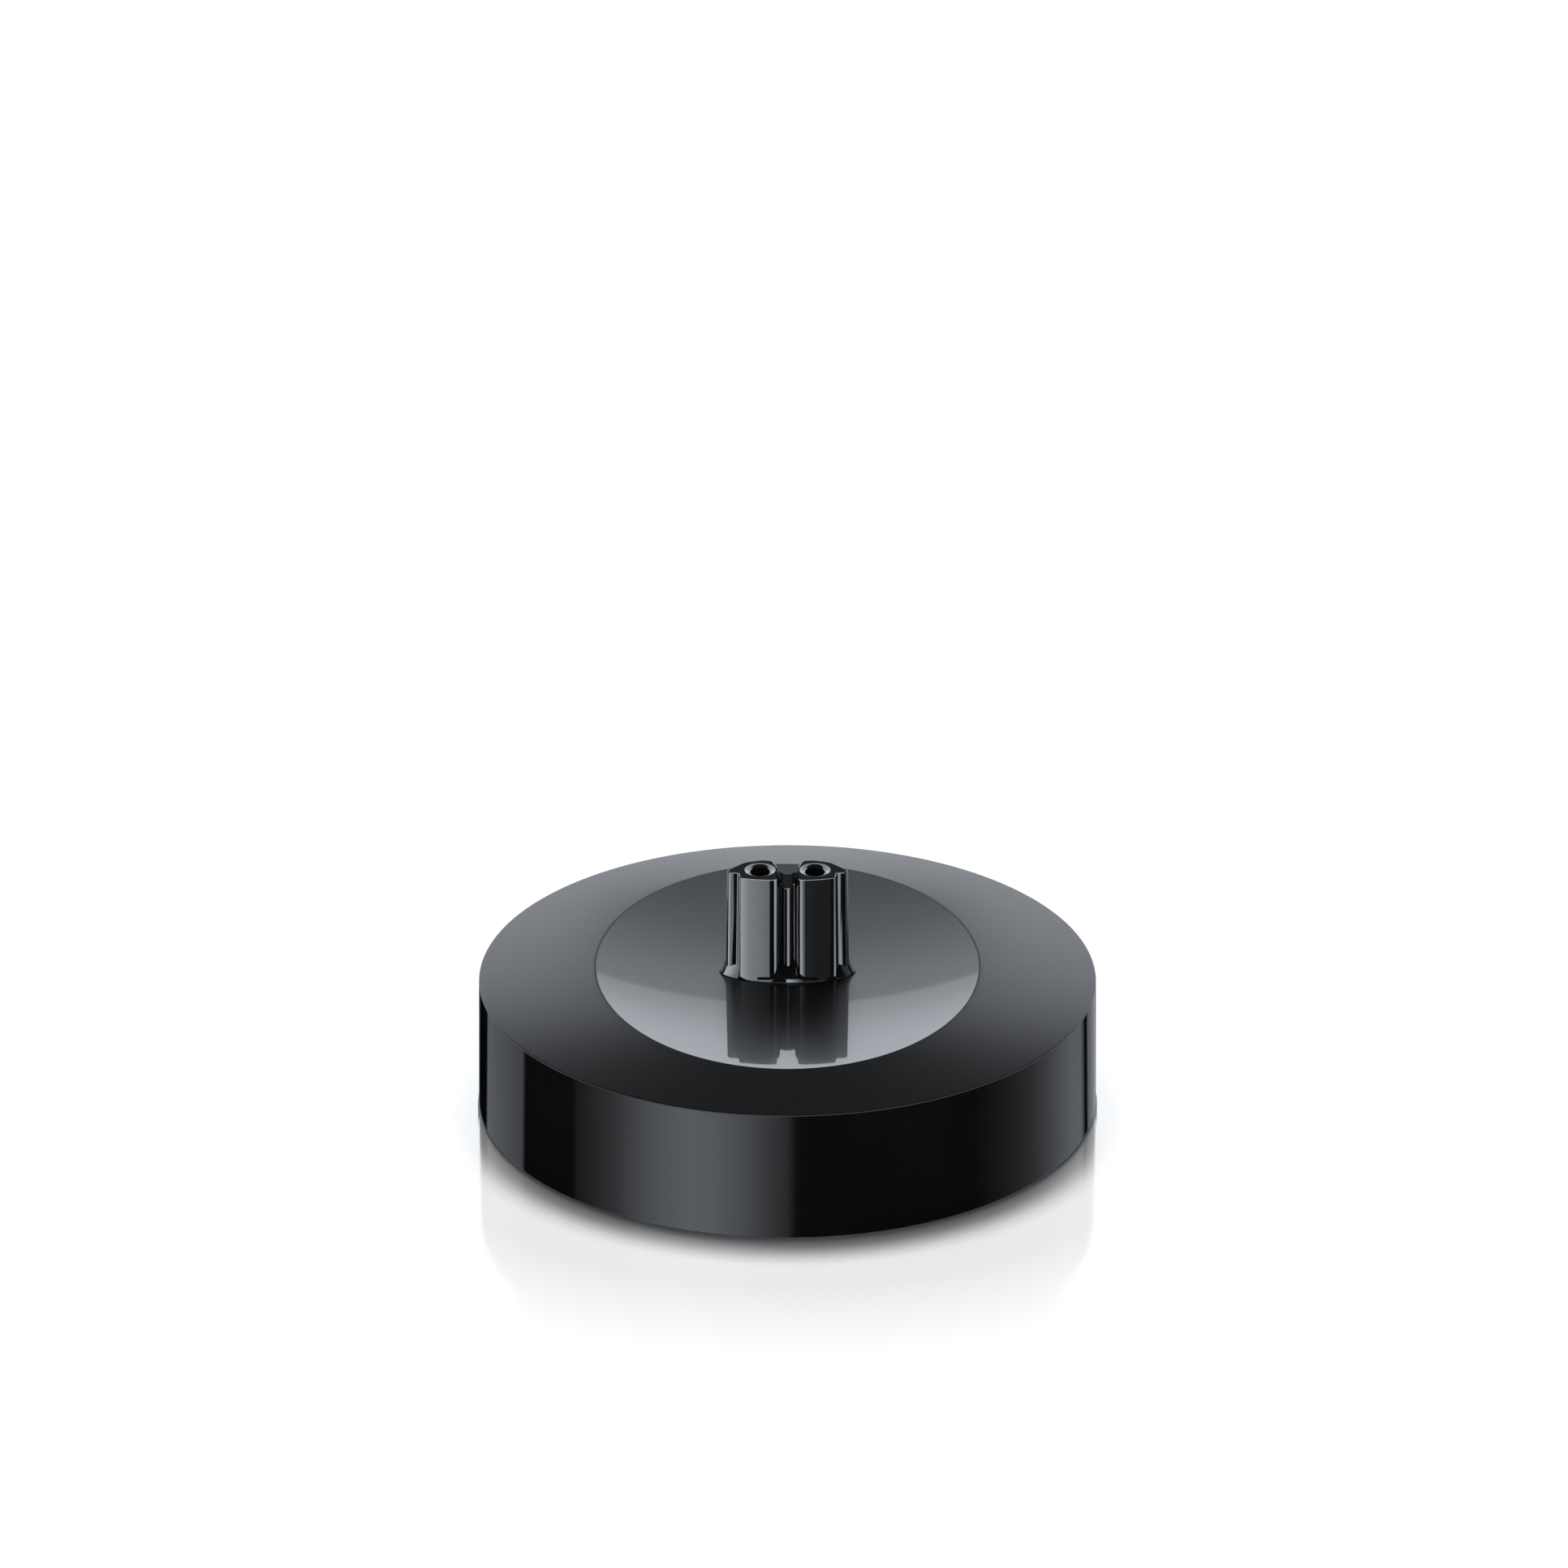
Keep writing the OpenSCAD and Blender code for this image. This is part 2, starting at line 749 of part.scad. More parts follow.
module base_screws() {
    color("silver")
        at_corners(screw_r, screw_angle)
            translate([0, 0, base_seat_z])
                screw(base_shank_r, floor_z + pad_h + base_bite - screw_gap - base_seat_z,
                    base_head_r, base_head_h);
}

// Foot: a rubber disc with a rounded lower edge, seated in the base plate
module foot(a) {
    color([0.13, 0.13, 0.135])
        rotate([0, 0, a])
            translate([foot_r, 0, 0]) {
                cylinder(h = foot_bevel, r1 = foot_d / 2 - foot_bevel, r2 = foot_d / 2);
                disc(foot_bevel, base_z + foot_in, foot_d / 2);
            }
}

module front_left_foot() {
    foot(180 + foot_angle);
}

module front_right_foot() {
    foot(-foot_angle);
}

module rear_left_foot() {
    foot(180 - foot_angle);
}

module rear_right_foot() {
    foot(foot_angle);
}

top_housing();
seat_plate();
seat_film();
plug_tower();
tower_gasket();
left_contact();
right_contact();
contact_retainer();
tower_screws();
inlet_socket();
inlet_gasket();
left_pin();
right_pin();
left_lead();
right_lead();
ballast_plate();
base_plate();
base_seal();
base_screws();
front_left_foot();
front_right_foot();
rear_left_foot();
rear_right_foot();
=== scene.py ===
"""Looks of a round charging stand for a shaver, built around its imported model.

The stand is a weighted puck with a polished side wall, a finely grained sloping ring, a polished
oval seat and a two-pole plug. What shows is modelled anew in millimetres at the model's own sizes,
what is sealed inside keeps the model's shape, and every piece gets its own finish.
"""

import logging
import math
from dataclasses import dataclass, field
from enum import Enum
from itertools import pairwise
from typing import Callable, Iterable, Sequence

import bpy
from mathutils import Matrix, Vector


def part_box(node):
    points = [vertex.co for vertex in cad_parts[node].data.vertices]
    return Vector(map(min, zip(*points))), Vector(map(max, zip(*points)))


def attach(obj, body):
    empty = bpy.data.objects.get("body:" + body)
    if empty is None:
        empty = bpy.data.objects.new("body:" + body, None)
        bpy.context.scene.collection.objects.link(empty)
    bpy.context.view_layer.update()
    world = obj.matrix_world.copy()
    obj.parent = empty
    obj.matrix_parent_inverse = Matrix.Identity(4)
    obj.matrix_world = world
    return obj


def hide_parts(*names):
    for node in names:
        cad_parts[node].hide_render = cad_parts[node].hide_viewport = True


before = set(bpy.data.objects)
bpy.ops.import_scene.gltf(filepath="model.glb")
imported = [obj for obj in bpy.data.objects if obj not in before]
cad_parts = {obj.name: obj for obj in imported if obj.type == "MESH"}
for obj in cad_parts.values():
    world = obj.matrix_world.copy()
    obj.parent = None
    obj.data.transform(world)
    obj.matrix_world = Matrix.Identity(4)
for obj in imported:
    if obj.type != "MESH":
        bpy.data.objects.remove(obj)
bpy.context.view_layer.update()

COOL = (0.945, 1.0, 1.075, 1.0)
LOG = logging.getLogger("charging_stand")
MM = 0.001

Point = tuple[float, float, float]
Corner = tuple[float, float, float]


def node_box(name: str) -> tuple[Vector, Vector]:
    """Gives the lowest and the highest corner of a model's node, in millimetres."""
    low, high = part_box(name)
    return low / MM, high / MM


# Shader expressions


class Signal:
    """A value on its way through a finish, which takes part in Python expressions."""

    def __init__(self, recipe: "Recipe", socket: bpy.types.NodeSocket) -> None:
        """Wraps an output socket of a node.

        Args:
            recipe: The node tree that the socket belongs to.
            socket: The output that carries the value.
        """
        self.recipe = recipe
        self.socket = socket

    def _math(self, operation: str, *values: "Signal | float") -> "Signal":
        """Adds one Math node."""
        inputs = dict(enumerate(values))
        return self.recipe.add("ShaderNodeMath", {"operation": operation}, inputs)

    def __add__(self, other: "Signal | float") -> "Signal":
        """Adds a value."""
        return self._math("ADD", self, other)

    __radd__ = __add__

    def __sub__(self, other: "Signal | float") -> "Signal":
        """Takes a value away."""
        return self._math("SUBTRACT", self, other)

    def __rsub__(self, other: float) -> "Signal":
        """Takes this from a number."""
        return self._math("SUBTRACT", other, self)

    def __mul__(self, other: "Signal | float") -> "Signal":
        """Multiplies by a value."""
        return self._math("MULTIPLY", self, other)

    __rmul__ = __mul__

    def __truediv__(self, other: "Signal | float") -> "Signal":
        """Divides by a value."""
        return self._math("DIVIDE", self, other)

    def __pow__(self, power: float) -> "Signal":
        """Raises to a power."""
        return self._math("POWER", self, power)

    def __gt__(self, limit: "Signal | float") -> "Signal":
        """Gives 1 where the value lies above a limit, and 0 elsewhere."""
        return self._math("GREATER_THAN", self, limit)

    def or_else(self, other: "Signal | float") -> "Signal":
        """Gives the larger of two values, so that either of two masks counts."""
        return self._math("MAXIMUM", self, other)

    def angle_from(self, along: "Signal") -> "Signal":
        """Gives the angle in radians of the direction (along, self)."""
        return self._math("ARCTAN2", self, along)

    def rise(self, low: float, high: float) -> "Signal":
        """Goes smoothly from 0 at low to 1 at high.

        Args:
            low: Value at which the rise starts.
            high: Value at which it ends, below low for a fall.

        Returns:
            The share between 0 and 1.
        """
        return self.recipe.add(
            "ShaderNodeMapRange",
            {"interpolation_type": "SMOOTHSTEP", "clamp": True},
            {"Value": self, "From Min": low, "From Max": high},
        )


class Recipe:
    """The node tree of one finish or light in the making."""

    def __init__(self, owner: bpy.types.ID) -> None:
        """Empties the owner's node tree.

        Args:
            owner: A material or the world.
        """
        owner.use_nodes = True
        self.owner = owner
        self.tree = owner.node_tree
        self.tree.nodes.clear()

    def add(
        self,
        kind: str,
        settings: dict[str, object] | None = None,
        inputs: dict[str | int, "Signal | float | tuple"] | None = None,
        output: str | int = 0,
    ) -> Signal:
        """Adds a node, sets it up and connects it.

        Args:
            kind: The node's type.
            settings: Values of the node's properties; "stops" holds a ramp's places and colours.
            inputs: Values or signals by socket, by the socket's name or place.
            output: The output to hand on.

        Returns:
            The chosen output as a signal.
        """
        node = self.tree.nodes.new(kind)
        for name, value in (settings or {}).items():
            if name == "stops":
                self._set_stops(node.color_ramp, value)
            else:
                setattr(node, name, value)
        for key, value in (inputs or {}).items():
            socket = node.inputs[key]
            if isinstance(value, Signal):
                self.tree.links.new(value.socket, socket)
            else:
                socket.default_value = value
        return Signal(self, node.outputs[output]) if node.outputs else None

    @staticmethod
    def _set_stops(ramp: bpy.types.ColorRamp, stops: Sequence[tuple[float, object]]) -> None:
        """Fills a colour ramp.

        Args:
            ramp: The ramp, which starts with two stops.
            stops: Places from 0 to 1 with a grey level or a colour.
        """
        while len(ramp.elements) < len(stops):
            ramp.elements.new(1.0)
        for element, (place, tone) in zip(ramp.elements, stops):
            element.position = place
            element.color = tone if isinstance(tone, tuple) else (tone, tone, tone, 1.0)

    def place(self) -> tuple[Signal, Signal, Signal]:
        """Gives the three object coordinates, in metres.

        Returns:
            The coordinates along X, Y and Z.
        """
        split = self.add("ShaderNodeSeparateXYZ", inputs={"Vector": self.coordinates()})
        outputs = split.socket.node.outputs
        return tuple(Signal(self, output) for output in outputs)

    def coordinates(self) -> Signal:
        """Gives the object coordinates as a vector."""
        return self.add("ShaderNodeTexCoord", output="Object")

    def noise(self, size: float, detail: float = 2.0, roughness: float = 0.5) -> Signal:
        """Adds noise on object coordinates.

        Args:
            size: Size of the noise's largest spots, in millimetres.
            detail: Number of finer layers.
            roughness: Strength of the finer layers.

        Returns:
            The noise, about 0.5 on average.
        """
        inputs = {"Vector": self.coordinates(), "Scale": 1 / (size * MM), "Detail": detail,
                  "Roughness": roughness}
        return self.add("ShaderNodeTexNoise", inputs=inputs)

    def blend(self, share: "Signal | float", first: tuple, second: tuple) -> Signal:
        """Mixes two colours.

        Args:
            share: The second colour's share.
            first: Colour where the share is 0.
            second: Colour where the share is 1.

        Returns:
            The mixed colour.
        """
        inputs = {0: share, 6: first, 7: second}
        return self.add("ShaderNodeMix", {"data_type": "RGBA"}, inputs, output=2)

    def bump(self, height: Signal, depth: float) -> Signal:
        """Turns a height into a bump.

        Args:
            height: Height from 0 to 1.
            depth: Depth of the whole relief, in millimetres.

        Returns:
            The bumped normal.
        """
        inputs = {"Height": height, "Distance": depth * MM, "Strength": 1.0}
        return self.add("ShaderNodeBump", inputs=inputs)

    def crowned(self, radius: float) -> Signal:
        """Gives the normal of a surface that is faintly crowned from front to back.

        Args:
            radius: Radius of the crown, in millimetres.

        Returns:
            The normal.
        """
        _, along, _ = self.place()
        tilt = self.add("ShaderNodeCombineXYZ", inputs={"Y": along / (radius * MM)})
        level = self.add("ShaderNodeNewGeometry", output="Normal")
        tilted = self.add("ShaderNodeVectorMath", {"operation": "ADD"}, {0: level, 1: tilt})
        return self.add("ShaderNodeVectorMath", {"operation": "NORMALIZE"}, {0: tilted})

    def finish_surface(self, shader: Signal) -> None:
        """Connects the last shader to the output."""
        on_world = isinstance(self.owner, bpy.types.World)
        kind = "ShaderNodeOutputWorld" if on_world else "ShaderNodeOutputMaterial"
        self.add(kind, inputs={"Surface": shader})

    def principled(self, inputs: dict[str | int, "Signal | float | tuple"]) -> bpy.types.Material:
        """Ends the recipe with a Principled shader.

        Args:
            inputs: Values or signals of its sockets.

        Returns:
            The finished material.
        """
        self.finish_surface(self.add("ShaderNodeBsdfPrincipled", inputs=inputs))
        return self.owner


def new_recipe(name: str) -> Recipe:
    """Starts the recipe of a new material."""
    return Recipe(bpy.data.materials.new(name))


def grey(level: float, blue: float = 0.0) -> tuple[float, float, float, float]:
    """Gives a grey colour, a little bluish where blue is above 0."""
    return (level * (1 - blue), level, level * (1 + blue), 1.0)


# Finishes


@dataclass(frozen=True)
class GlossBlack:
    """Polished black plastic: deep colour, a faint waviness and a trace of dust and wiping marks.

    Attributes:
        name: Name of the material.
        level: Reflectance of the plastic itself.
        roughness: Roughness of clean surface.
        haze: How much rougher the wiped patches are.
        ripple: Depth of the moulded surface's waviness, in millimetres.
    """

    name: str
    level: float = 0.004
    roughness: float = 0.045
    haze: float = 0.02
    ripple: float = 0.0004

    def make(self) -> bpy.types.Material:
        """Builds the material.

        Returns:
            The material.
        """
        recipe = new_recipe(self.name)
        wipe = recipe.noise(9.0, detail=4.0, roughness=0.6).rise(0.42, 0.7)
        dust = recipe.noise(0.35, detail=1.0).rise(0.74, 0.82)
        dusty = grey(self.level * 2.2, 0.05)
        tone = recipe.blend(dust * 0.5 + wipe * 0.25, grey(self.level, 0.08), dusty)
        normal = recipe.bump(recipe.noise(5.0, detail=1.0), self.ripple)
        inputs = {
            "Base Color": tone,
            "Roughness": self.roughness + wipe * self.haze + dust * self.haze,
            "Normal": normal,
            "IOR": 1.5,
        }
        return recipe.principled(inputs)


@dataclass(frozen=True)
class GrainedBlack:
    """Black plastic with the fine even grain of a spark-eroded mould.

    Attributes:
        name: Name of the material.
        level: Reflectance of the plastic itself.
        roughness: Roughness between the grains.
        grain: Size of a grain, in millimetres.
        relief: Height of the grain, in millimetres.
        sheen: Strength of the reflection, 0.5 for plain plastic.
    """

    name: str
    level: float = 0.008
    roughness: float = 0.4
    grain: float = 0.16
    relief: float = 0.004
    sheen: float = 0.5

    def make(self) -> bpy.types.Material:
        """Builds the material.

        Returns:
            The material.
        """
        recipe = new_recipe(self.name)
        coarse = recipe.noise(self.grain, detail=2.0, roughness=0.55)
        fine = recipe.noise(self.grain / 2.6, detail=1.0)
        height = coarse * 0.65 + fine * 0.35
        tips = height.rise(0.45, 0.68)
        tone = recipe.blend(tips, grey(self.level * 0.75, 0.06), grey(self.level * 1.5, 0.06))
        inputs = {
            "Base Color": tone,
            "Roughness": self.roughness - tips * 0.06,
            "Normal": recipe.bump(height, self.relief),
            "Specular IOR Level": self.sheen,
            "IOR": 1.5,
        }
        return recipe.principled(inputs)


@dataclass(frozen=True)
class SeatGloss:
    """Black seat under a soft lacquer: a broad sheen with a fainter sharp reflection in it.

    Attributes:
        name: Name of the material.
        level: Reflectance of the plastic itself.
        sharp: Strength of the sharp reflection, 0.5 for plain plastic.
        sharp_roughness: Roughness of the sharp reflection.
        lacquer: Weight of the lacquer.
        lacquer_roughness: Roughness of the lacquer.
        crown: Radius of the faint crown from front to back, in millimetres.
    """

    name: str
    level: float = 0.004
    sharp: float = 0.08
    sharp_roughness: float = 0.03
    lacquer: float = 0.2
    lacquer_roughness: float = 0.33
    crown: float = 650.0

    def make(self) -> bpy.types.Material:
        """Builds the material.

        Returns:
            The material.
        """
        recipe = new_recipe(self.name)
        wipe = recipe.noise(14.0, detail=3.0, roughness=0.55).rise(0.45, 0.75)
        dust = recipe.noise(0.3, detail=1.0).rise(0.76, 0.84)
        tone = recipe.blend(dust * 0.5 + wipe * 0.2, grey(self.level, 0.1), grey(self.level * 2, 0.05))
        inputs = {
            "Base Color": tone,
            "Roughness": self.sharp_roughness + wipe * 0.015,
            "Specular IOR Level": self.sharp,
            "IOR": 1.5,
            "Normal": recipe.crowned(self.crown),
            "Coat Weight": self.lacquer,
            "Coat Roughness": self.lacquer_roughness,
            "Coat IOR": 1.5,
        }
        return recipe.principled(inputs)


@dataclass(frozen=True)
class Rubber:
    """Moulded black rubber: dull, slightly dusty, with a fine pebbled skin.

    Attributes:
        name: Name of the material.
        level: Reflectance of the rubber.
        pebble: Size of the skin's pebbles, in millimetres.
    """

    name: str
    level: float = 0.018
    pebble: float = 0.25

    def make(self) -> bpy.types.Material:
        """Builds the material.

        Returns:
            The material.
        """
        recipe = new_recipe(self.name)
        skin = recipe.noise(self.pebble, detail=2.0)
        dust = recipe.noise(1.6, detail=3.0).rise(0.5, 0.75)
        dusty = (self.level * 2.2, self.level * 2.1, self.level * 1.9, 1.0)
        tone = recipe.blend(dust * 0.6, grey(self.level), dusty)
        inputs = {
            "Base Color": tone,
            "Roughness": 0.62 + dust * 0.2,
            "Normal": recipe.bump(skin, 0.02),
            "Specular IOR Level": 0.35,
        }
        return recipe.principled(inputs)


@dataclass(frozen=True)
class Metal:
    """Turned or rolled metal with tool marks and light tarnish.

    Attributes:
        name: Name of the material.
        bright: Colour of clean metal.
        dull: Colour of tarnished spots.
        roughness: Roughness of clean metal.
        mark: Size of the tool marks, in millimetres.
    """

    name: str
    bright: tuple[float, float, float]
    dull: tuple[float, float, float]
    roughness: float = 0.22
    mark: float = 0.3

    def make(self) -> bpy.types.Material:
        """Builds the material.

        Returns:
            The material.
        """
        recipe = new_recipe(self.name)
        tarnish = recipe.noise(2.4, detail=4.0, roughness=0.65).rise(0.48, 0.72)
        inputs = {"Vector": recipe.coordinates(), "Scale": (1.0, 1.0, 9.0)}
        stretch = recipe.add("ShaderNodeMapping", inputs=inputs)
        inputs = {"Vector": stretch, "Scale": 1 / (self.mark * MM), "Detail": 3.0}
        marks = recipe.add("ShaderNodeTexNoise", inputs=inputs)
        inputs = {
            "Base Color": recipe.blend(tarnish, (*self.bright, 1.0), (*self.dull, 1.0)),
            "Metallic": 1.0,
            "Roughness": self.roughness + tarnish * 0.18 + marks * 0.06,
            "Normal": recipe.bump(marks, 0.004),
        }
        return recipe.principled(inputs)


@dataclass(frozen=True)
class PaleMoulding:
    """Pale translucent moulding or film with flow marks.

    Attributes:
        name: Name of the material.
        light: Colour of thin parts.
        dark: Colour of thick parts.
        roughness: Roughness of the surface.
    """

    name: str
    light: tuple[float, float, float]
    dark: tuple[float, float, float]
    roughness: float = 0.42

    def make(self) -> bpy.types.Material:
        """Builds the material.

        Returns:
            The material.
        """
        recipe = new_recipe(self.name)
        flow = recipe.noise(5.0, detail=3.0, roughness=0.6)
        inputs = {
            "Base Color": recipe.blend(flow.rise(0.35, 0.7), (*self.light, 1.0), (*self.dark, 1.0)),
            "Roughness": self.roughness + flow * 0.15,
            "Normal": recipe.bump(recipe.noise(0.6, detail=2.0), 0.01),
            "Subsurface Weight": 0.15,
            "Subsurface Scale": 0.5 * MM,
        }
        return recipe.principled(inputs)


# Modelling by hand


class Axis(Enum):
    """Direction in which a piece is drawn out of its first ring."""

    UP = "up"
    BACK = "back"

    @property
    def turn(self) -> Point:
        """Gives the turn of a flat circle that is drawn out along the axis."""
        return (0.0, 0.0, 0.0) if self is Axis.UP else (math.radians(90), 0.0, 0.0)

    def point(self, across: float, along: float, height: float) -> Point:
        """Gives the place of a point from its place in a ring and its height along the axis."""
        return (across, along, height) if self is Axis.UP else (across, height, along)


@dataclass(frozen=True)
class Ring:
    """One outline of a piece that is drawn out from ring to ring.

    Attributes:
        across: Half width along X.
        along: Half length in the other direction of the ring.
        height: Place along the axis.
        offset: Place of the centre in the other direction of the ring.
    """

    across: float
    along: float
    height: float
    offset: float = 0.0


def turned(profile: Iterable[tuple[float, float]], offset: float = 0.0) -> list[Ring]:
    """Gives the rings of a round profile of (radius, height) pairs."""
    return [Ring(radius, radius, height, offset) for radius, height in profile]


def arc(centre: tuple[float, float], radius: float, start: float, end: float,
        steps: int) -> list[tuple[float, float]]:
    """Gives the points of an arc in a profile.

    Args:
        centre: The arc's centre as (radius, height).
        radius: Radius of the arc.
        start: Direction of the first point in degrees, 0 outward and 90 up.
        end: Direction of the last point.
        steps: Number of steps between them.

    Returns:
        Points as (radius, height).
    """
    turns = [math.radians(start + (end - start) * i / steps) for i in range(steps + 1)]
    return [(centre[0] + radius * math.cos(a), centre[1] + radius * math.sin(a)) for a in turns]


class Workpiece:
    """One mesh in the making, in millimetres, shaped with the operators of edit mode."""

    def __init__(self, name: str) -> None:
        """Takes over the primitive that was just added.

        Args:
            name: Name of the finished piece.
        """
        self.obj = bpy.context.active_object
        self.obj.name = name
        self.obj.data.name = name
        bpy.ops.object.transform_apply(location=True, rotation=True, scale=True)

    @property
    def mesh(self) -> bpy.types.Mesh:
        """Gives the mesh."""
        return self.obj.data

    @classmethod
    def lofted(cls, name: str, rings: Sequence[Ring], count: int = 96, axis: Axis = Axis.UP,
               shell: bool = False) -> "Workpiece":
        """Draws a circle out from ring to ring into a closed solid.

        Args:
            name: Name of the piece.
            rings: The outlines in order.
            count: Number of points round a ring.
            axis: Direction of the draw.
            shell: Whether the last ring meets the first; otherwise both ends are capped.

        Returns:
            The solid.
        """
        first = rings[0]
        clear_selection()
        bpy.ops.mesh.primitive_circle_add(vertices=count, radius=1.0, rotation=axis.turn)
        piece = cls(name)
        bpy.ops.object.mode_set(mode="EDIT")
        bpy.ops.mesh.select_all(action="SELECT")
        bpy.ops.transform.resize(
            value=_factors(axis, first.across, first.along), center_override=(0.0, 0.0, 0.0)
        )
        bpy.ops.transform.translate(value=axis.point(0.0, first.offset, first.height))
        for last, ring in pairwise(rings):
            step = axis.point(0.0, ring.offset - last.offset, ring.height - last.height)
            bpy.ops.mesh.extrude_edges_move(TRANSFORM_OT_translate={"value": step})
            bpy.ops.transform.resize(
                value=_factors(axis, ring.across / last.across, ring.along / last.along),
                center_override=axis.point(0.0, ring.offset, ring.height),
            )
        bpy.ops.mesh.select_all(action="SELECT")
        if shell:
            bpy.ops.mesh.remove_doubles(threshold=1e-4)
        else:
            bpy.ops.mesh.fill_holes(sides=0)
        face_outward()
        return piece

    @classmethod
    def outlined(cls, name: str, corners: Sequence[Corner], bottom: float, height: float,
                 taper: float = 1.0, steps: int = 6) -> "Workpiece":
        """Pulls a circle's points to the corners of an outline, rounds them and raises the face.

        Args:
            name: Name of the piece.
            corners: Corners as (x, y, radius), counter-clockwise.
            bottom: Height of the lower face.
            height: Height of the piece.
            taper: Size of the upper face as a share of the lower one.
            steps: Number of steps in a rounded corner.

        Returns:
            The solid.
        """
        clear_selection()
        bpy.ops.mesh.primitive_circle_add(vertices=len(corners), radius=1.0, fill_type="NGON",
                                          location=(0, 0, bottom))
        piece = cls(name)
        for index, (x, y, _) in enumerate(corners):
            piece.select_vertices(lambda v, i=index: v.index == i)
            place = piece.mesh.vertices[index].co
            bpy.ops.object.mode_set(mode="EDIT")
            bpy.ops.transform.translate(value=(x - place.x, y - place.y, 0.0))
            bpy.ops.object.mode_set(mode="OBJECT")
        count = len(corners)
        for index, (x, y, radius) in enumerate(corners):
            here = Vector((x, y))
            before = (Vector(corners[index - 1][:2]) - here).normalized()
            after = (Vector(corners[(index + 1) % count][:2]) - here).normalized()
            half_angle = before.angle(after) / 2
            piece.select_vertices(lambda v, p=here: (v.co.xy - p).length < 1e-4)
            bpy.ops.object.mode_set(mode="EDIT")
            bpy.ops.mesh.bevel(offset_type="OFFSET", offset=radius / math.tan(half_angle),
                               segments=steps, profile=0.5, affect="VERTICES", clamp_overlap=False)
            bpy.ops.object.mode_set(mode="OBJECT")
        bpy.ops.object.mode_set(mode="EDIT")
        bpy.ops.mesh.select_all(action="SELECT")
        bpy.ops.mesh.extrude_region_move(TRANSFORM_OT_translate={"value": (0.0, 0.0, height)})
        bpy.ops.transform.resize(value=(taper, taper, 1.0), center_override=(0.0, 0.0, bottom + height))
        face_outward()
        return piece

    @classmethod
    def bar(cls, name: str, width: float, thickness: float, start: float, end: float,
            centre: tuple[float, float], axis: Axis = Axis.UP, count: int = 64) -> "Workpiece":
        """Makes a bar with round ends by pulling the halves of a circle apart and drawing it out.

        Args:
            name: Name of the piece.
            width: Width along X over the round ends.
            thickness: Thickness in the other direction of the section.
            start: Place of the first face along the axis.
            end: Place of the last face.
            centre: Centre of the section.
            axis: Direction of the draw.
            count: Number of points round the section.

        Returns:
            The solid.
        """
        clear_selection()
        bpy.ops.mesh.primitive_circle_add(vertices=count, radius=thickness / 2, fill_type="NGON",
                                          rotation=axis.turn)
        piece = cls(name)
        for side in (-1, 1):
            piece.select_vertices(lambda v, s=side: v.co.x * s > 1e-4)
            bpy.ops.object.mode_set(mode="EDIT")
            bpy.ops.transform.translate(value=(side * (width - thickness) / 2, 0.0, 0.0))
            bpy.ops.object.mode_set(mode="OBJECT")
        bpy.ops.object.mode_set(mode="EDIT")
        bpy.ops.mesh.select_all(action="SELECT")
        bpy.ops.transform.translate(value=axis.point(centre[0], centre[1], start))
        draw = axis.point(0.0, 0.0, end - start)
        bpy.ops.mesh.extrude_region_move(TRANSFORM_OT_translate={"value": draw})
        face_outward()
        return piece

    @classmethod
    def block(cls, name: str, low: Point, high: Point) -> "Workpiece":
        """Makes a block between two corners, to add to a piece or to cut with.

        Args:
            name: Name of the block.
            low: Its lowest corner.
            high: Its highest corner.

        Returns:
            The block.
        """
        centre = [(a + b) / 2 for a, b in zip(low, high)]
        clear_selection()
        size = [b - a for a, b in zip(low, high)]
        bpy.ops.mesh.primitive_cube_add(size=1.0, location=centre, scale=size)
        return cls(name)

    def select_vertices(self, wanted: Callable[[bpy.types.MeshVertex], bool]) -> None:
        """Selects vertices by a test, for the next edit.

        Args:
            wanted: Test of a vertex.
        """
        self._make_active("VERT")
        for vertex in self.mesh.vertices:
            vertex.select = wanted(vertex)

    def select_edges(self, wanted: Callable[[Vector, Vector, float], bool]) -> None:
        """Selects edges by their ends and by the angle between their faces.

        Args:
            wanted: Test of an edge's two ends and its angle in degrees.
        """
        self._make_active("EDGE")
        normals: dict[tuple[int, int], list[Vector]] = {}
        for face in self.mesh.polygons:
            for key in face.edge_keys:
                normals.setdefault(key, []).append(face.normal.copy())
        for edge in self.mesh.edges:
            sides = normals.get(edge.key, [])
            angle = math.degrees(sides[0].angle(sides[1], 0.0)) if len(sides) == 2 else 0.0
            ends = [self.mesh.vertices[i].co for i in edge.vertices]
            edge.select = wanted(*ends, angle)

    def _make_active(self, mode: str) -> None:
        """Clears the piece's selection and chooses what kind of element is selected next.

        Args:
            mode: VERT or EDGE.
        """
        pick(self.obj)
        bpy.ops.object.mode_set(mode="EDIT")
        bpy.ops.mesh.select_mode(type=mode)
        bpy.ops.mesh.select_all(action="DESELECT")
        bpy.ops.object.mode_set(mode="OBJECT")

    def round_selected(self, width: float, clamped: bool = True) -> None:
        """Rounds the selected edges in three steps.

        Args:
            width: Radius of the rounding.
            clamped: Whether short edges beside it hold it back.
        """
        bpy.ops.object.mode_set(mode="EDIT")
        bpy.ops.mesh.bevel(offset=width, segments=3, profile=0.5, affect="EDGES",
                           clamp_overlap=clamped, miter_outer="ARC")
        bpy.ops.object.mode_set(mode="OBJECT")

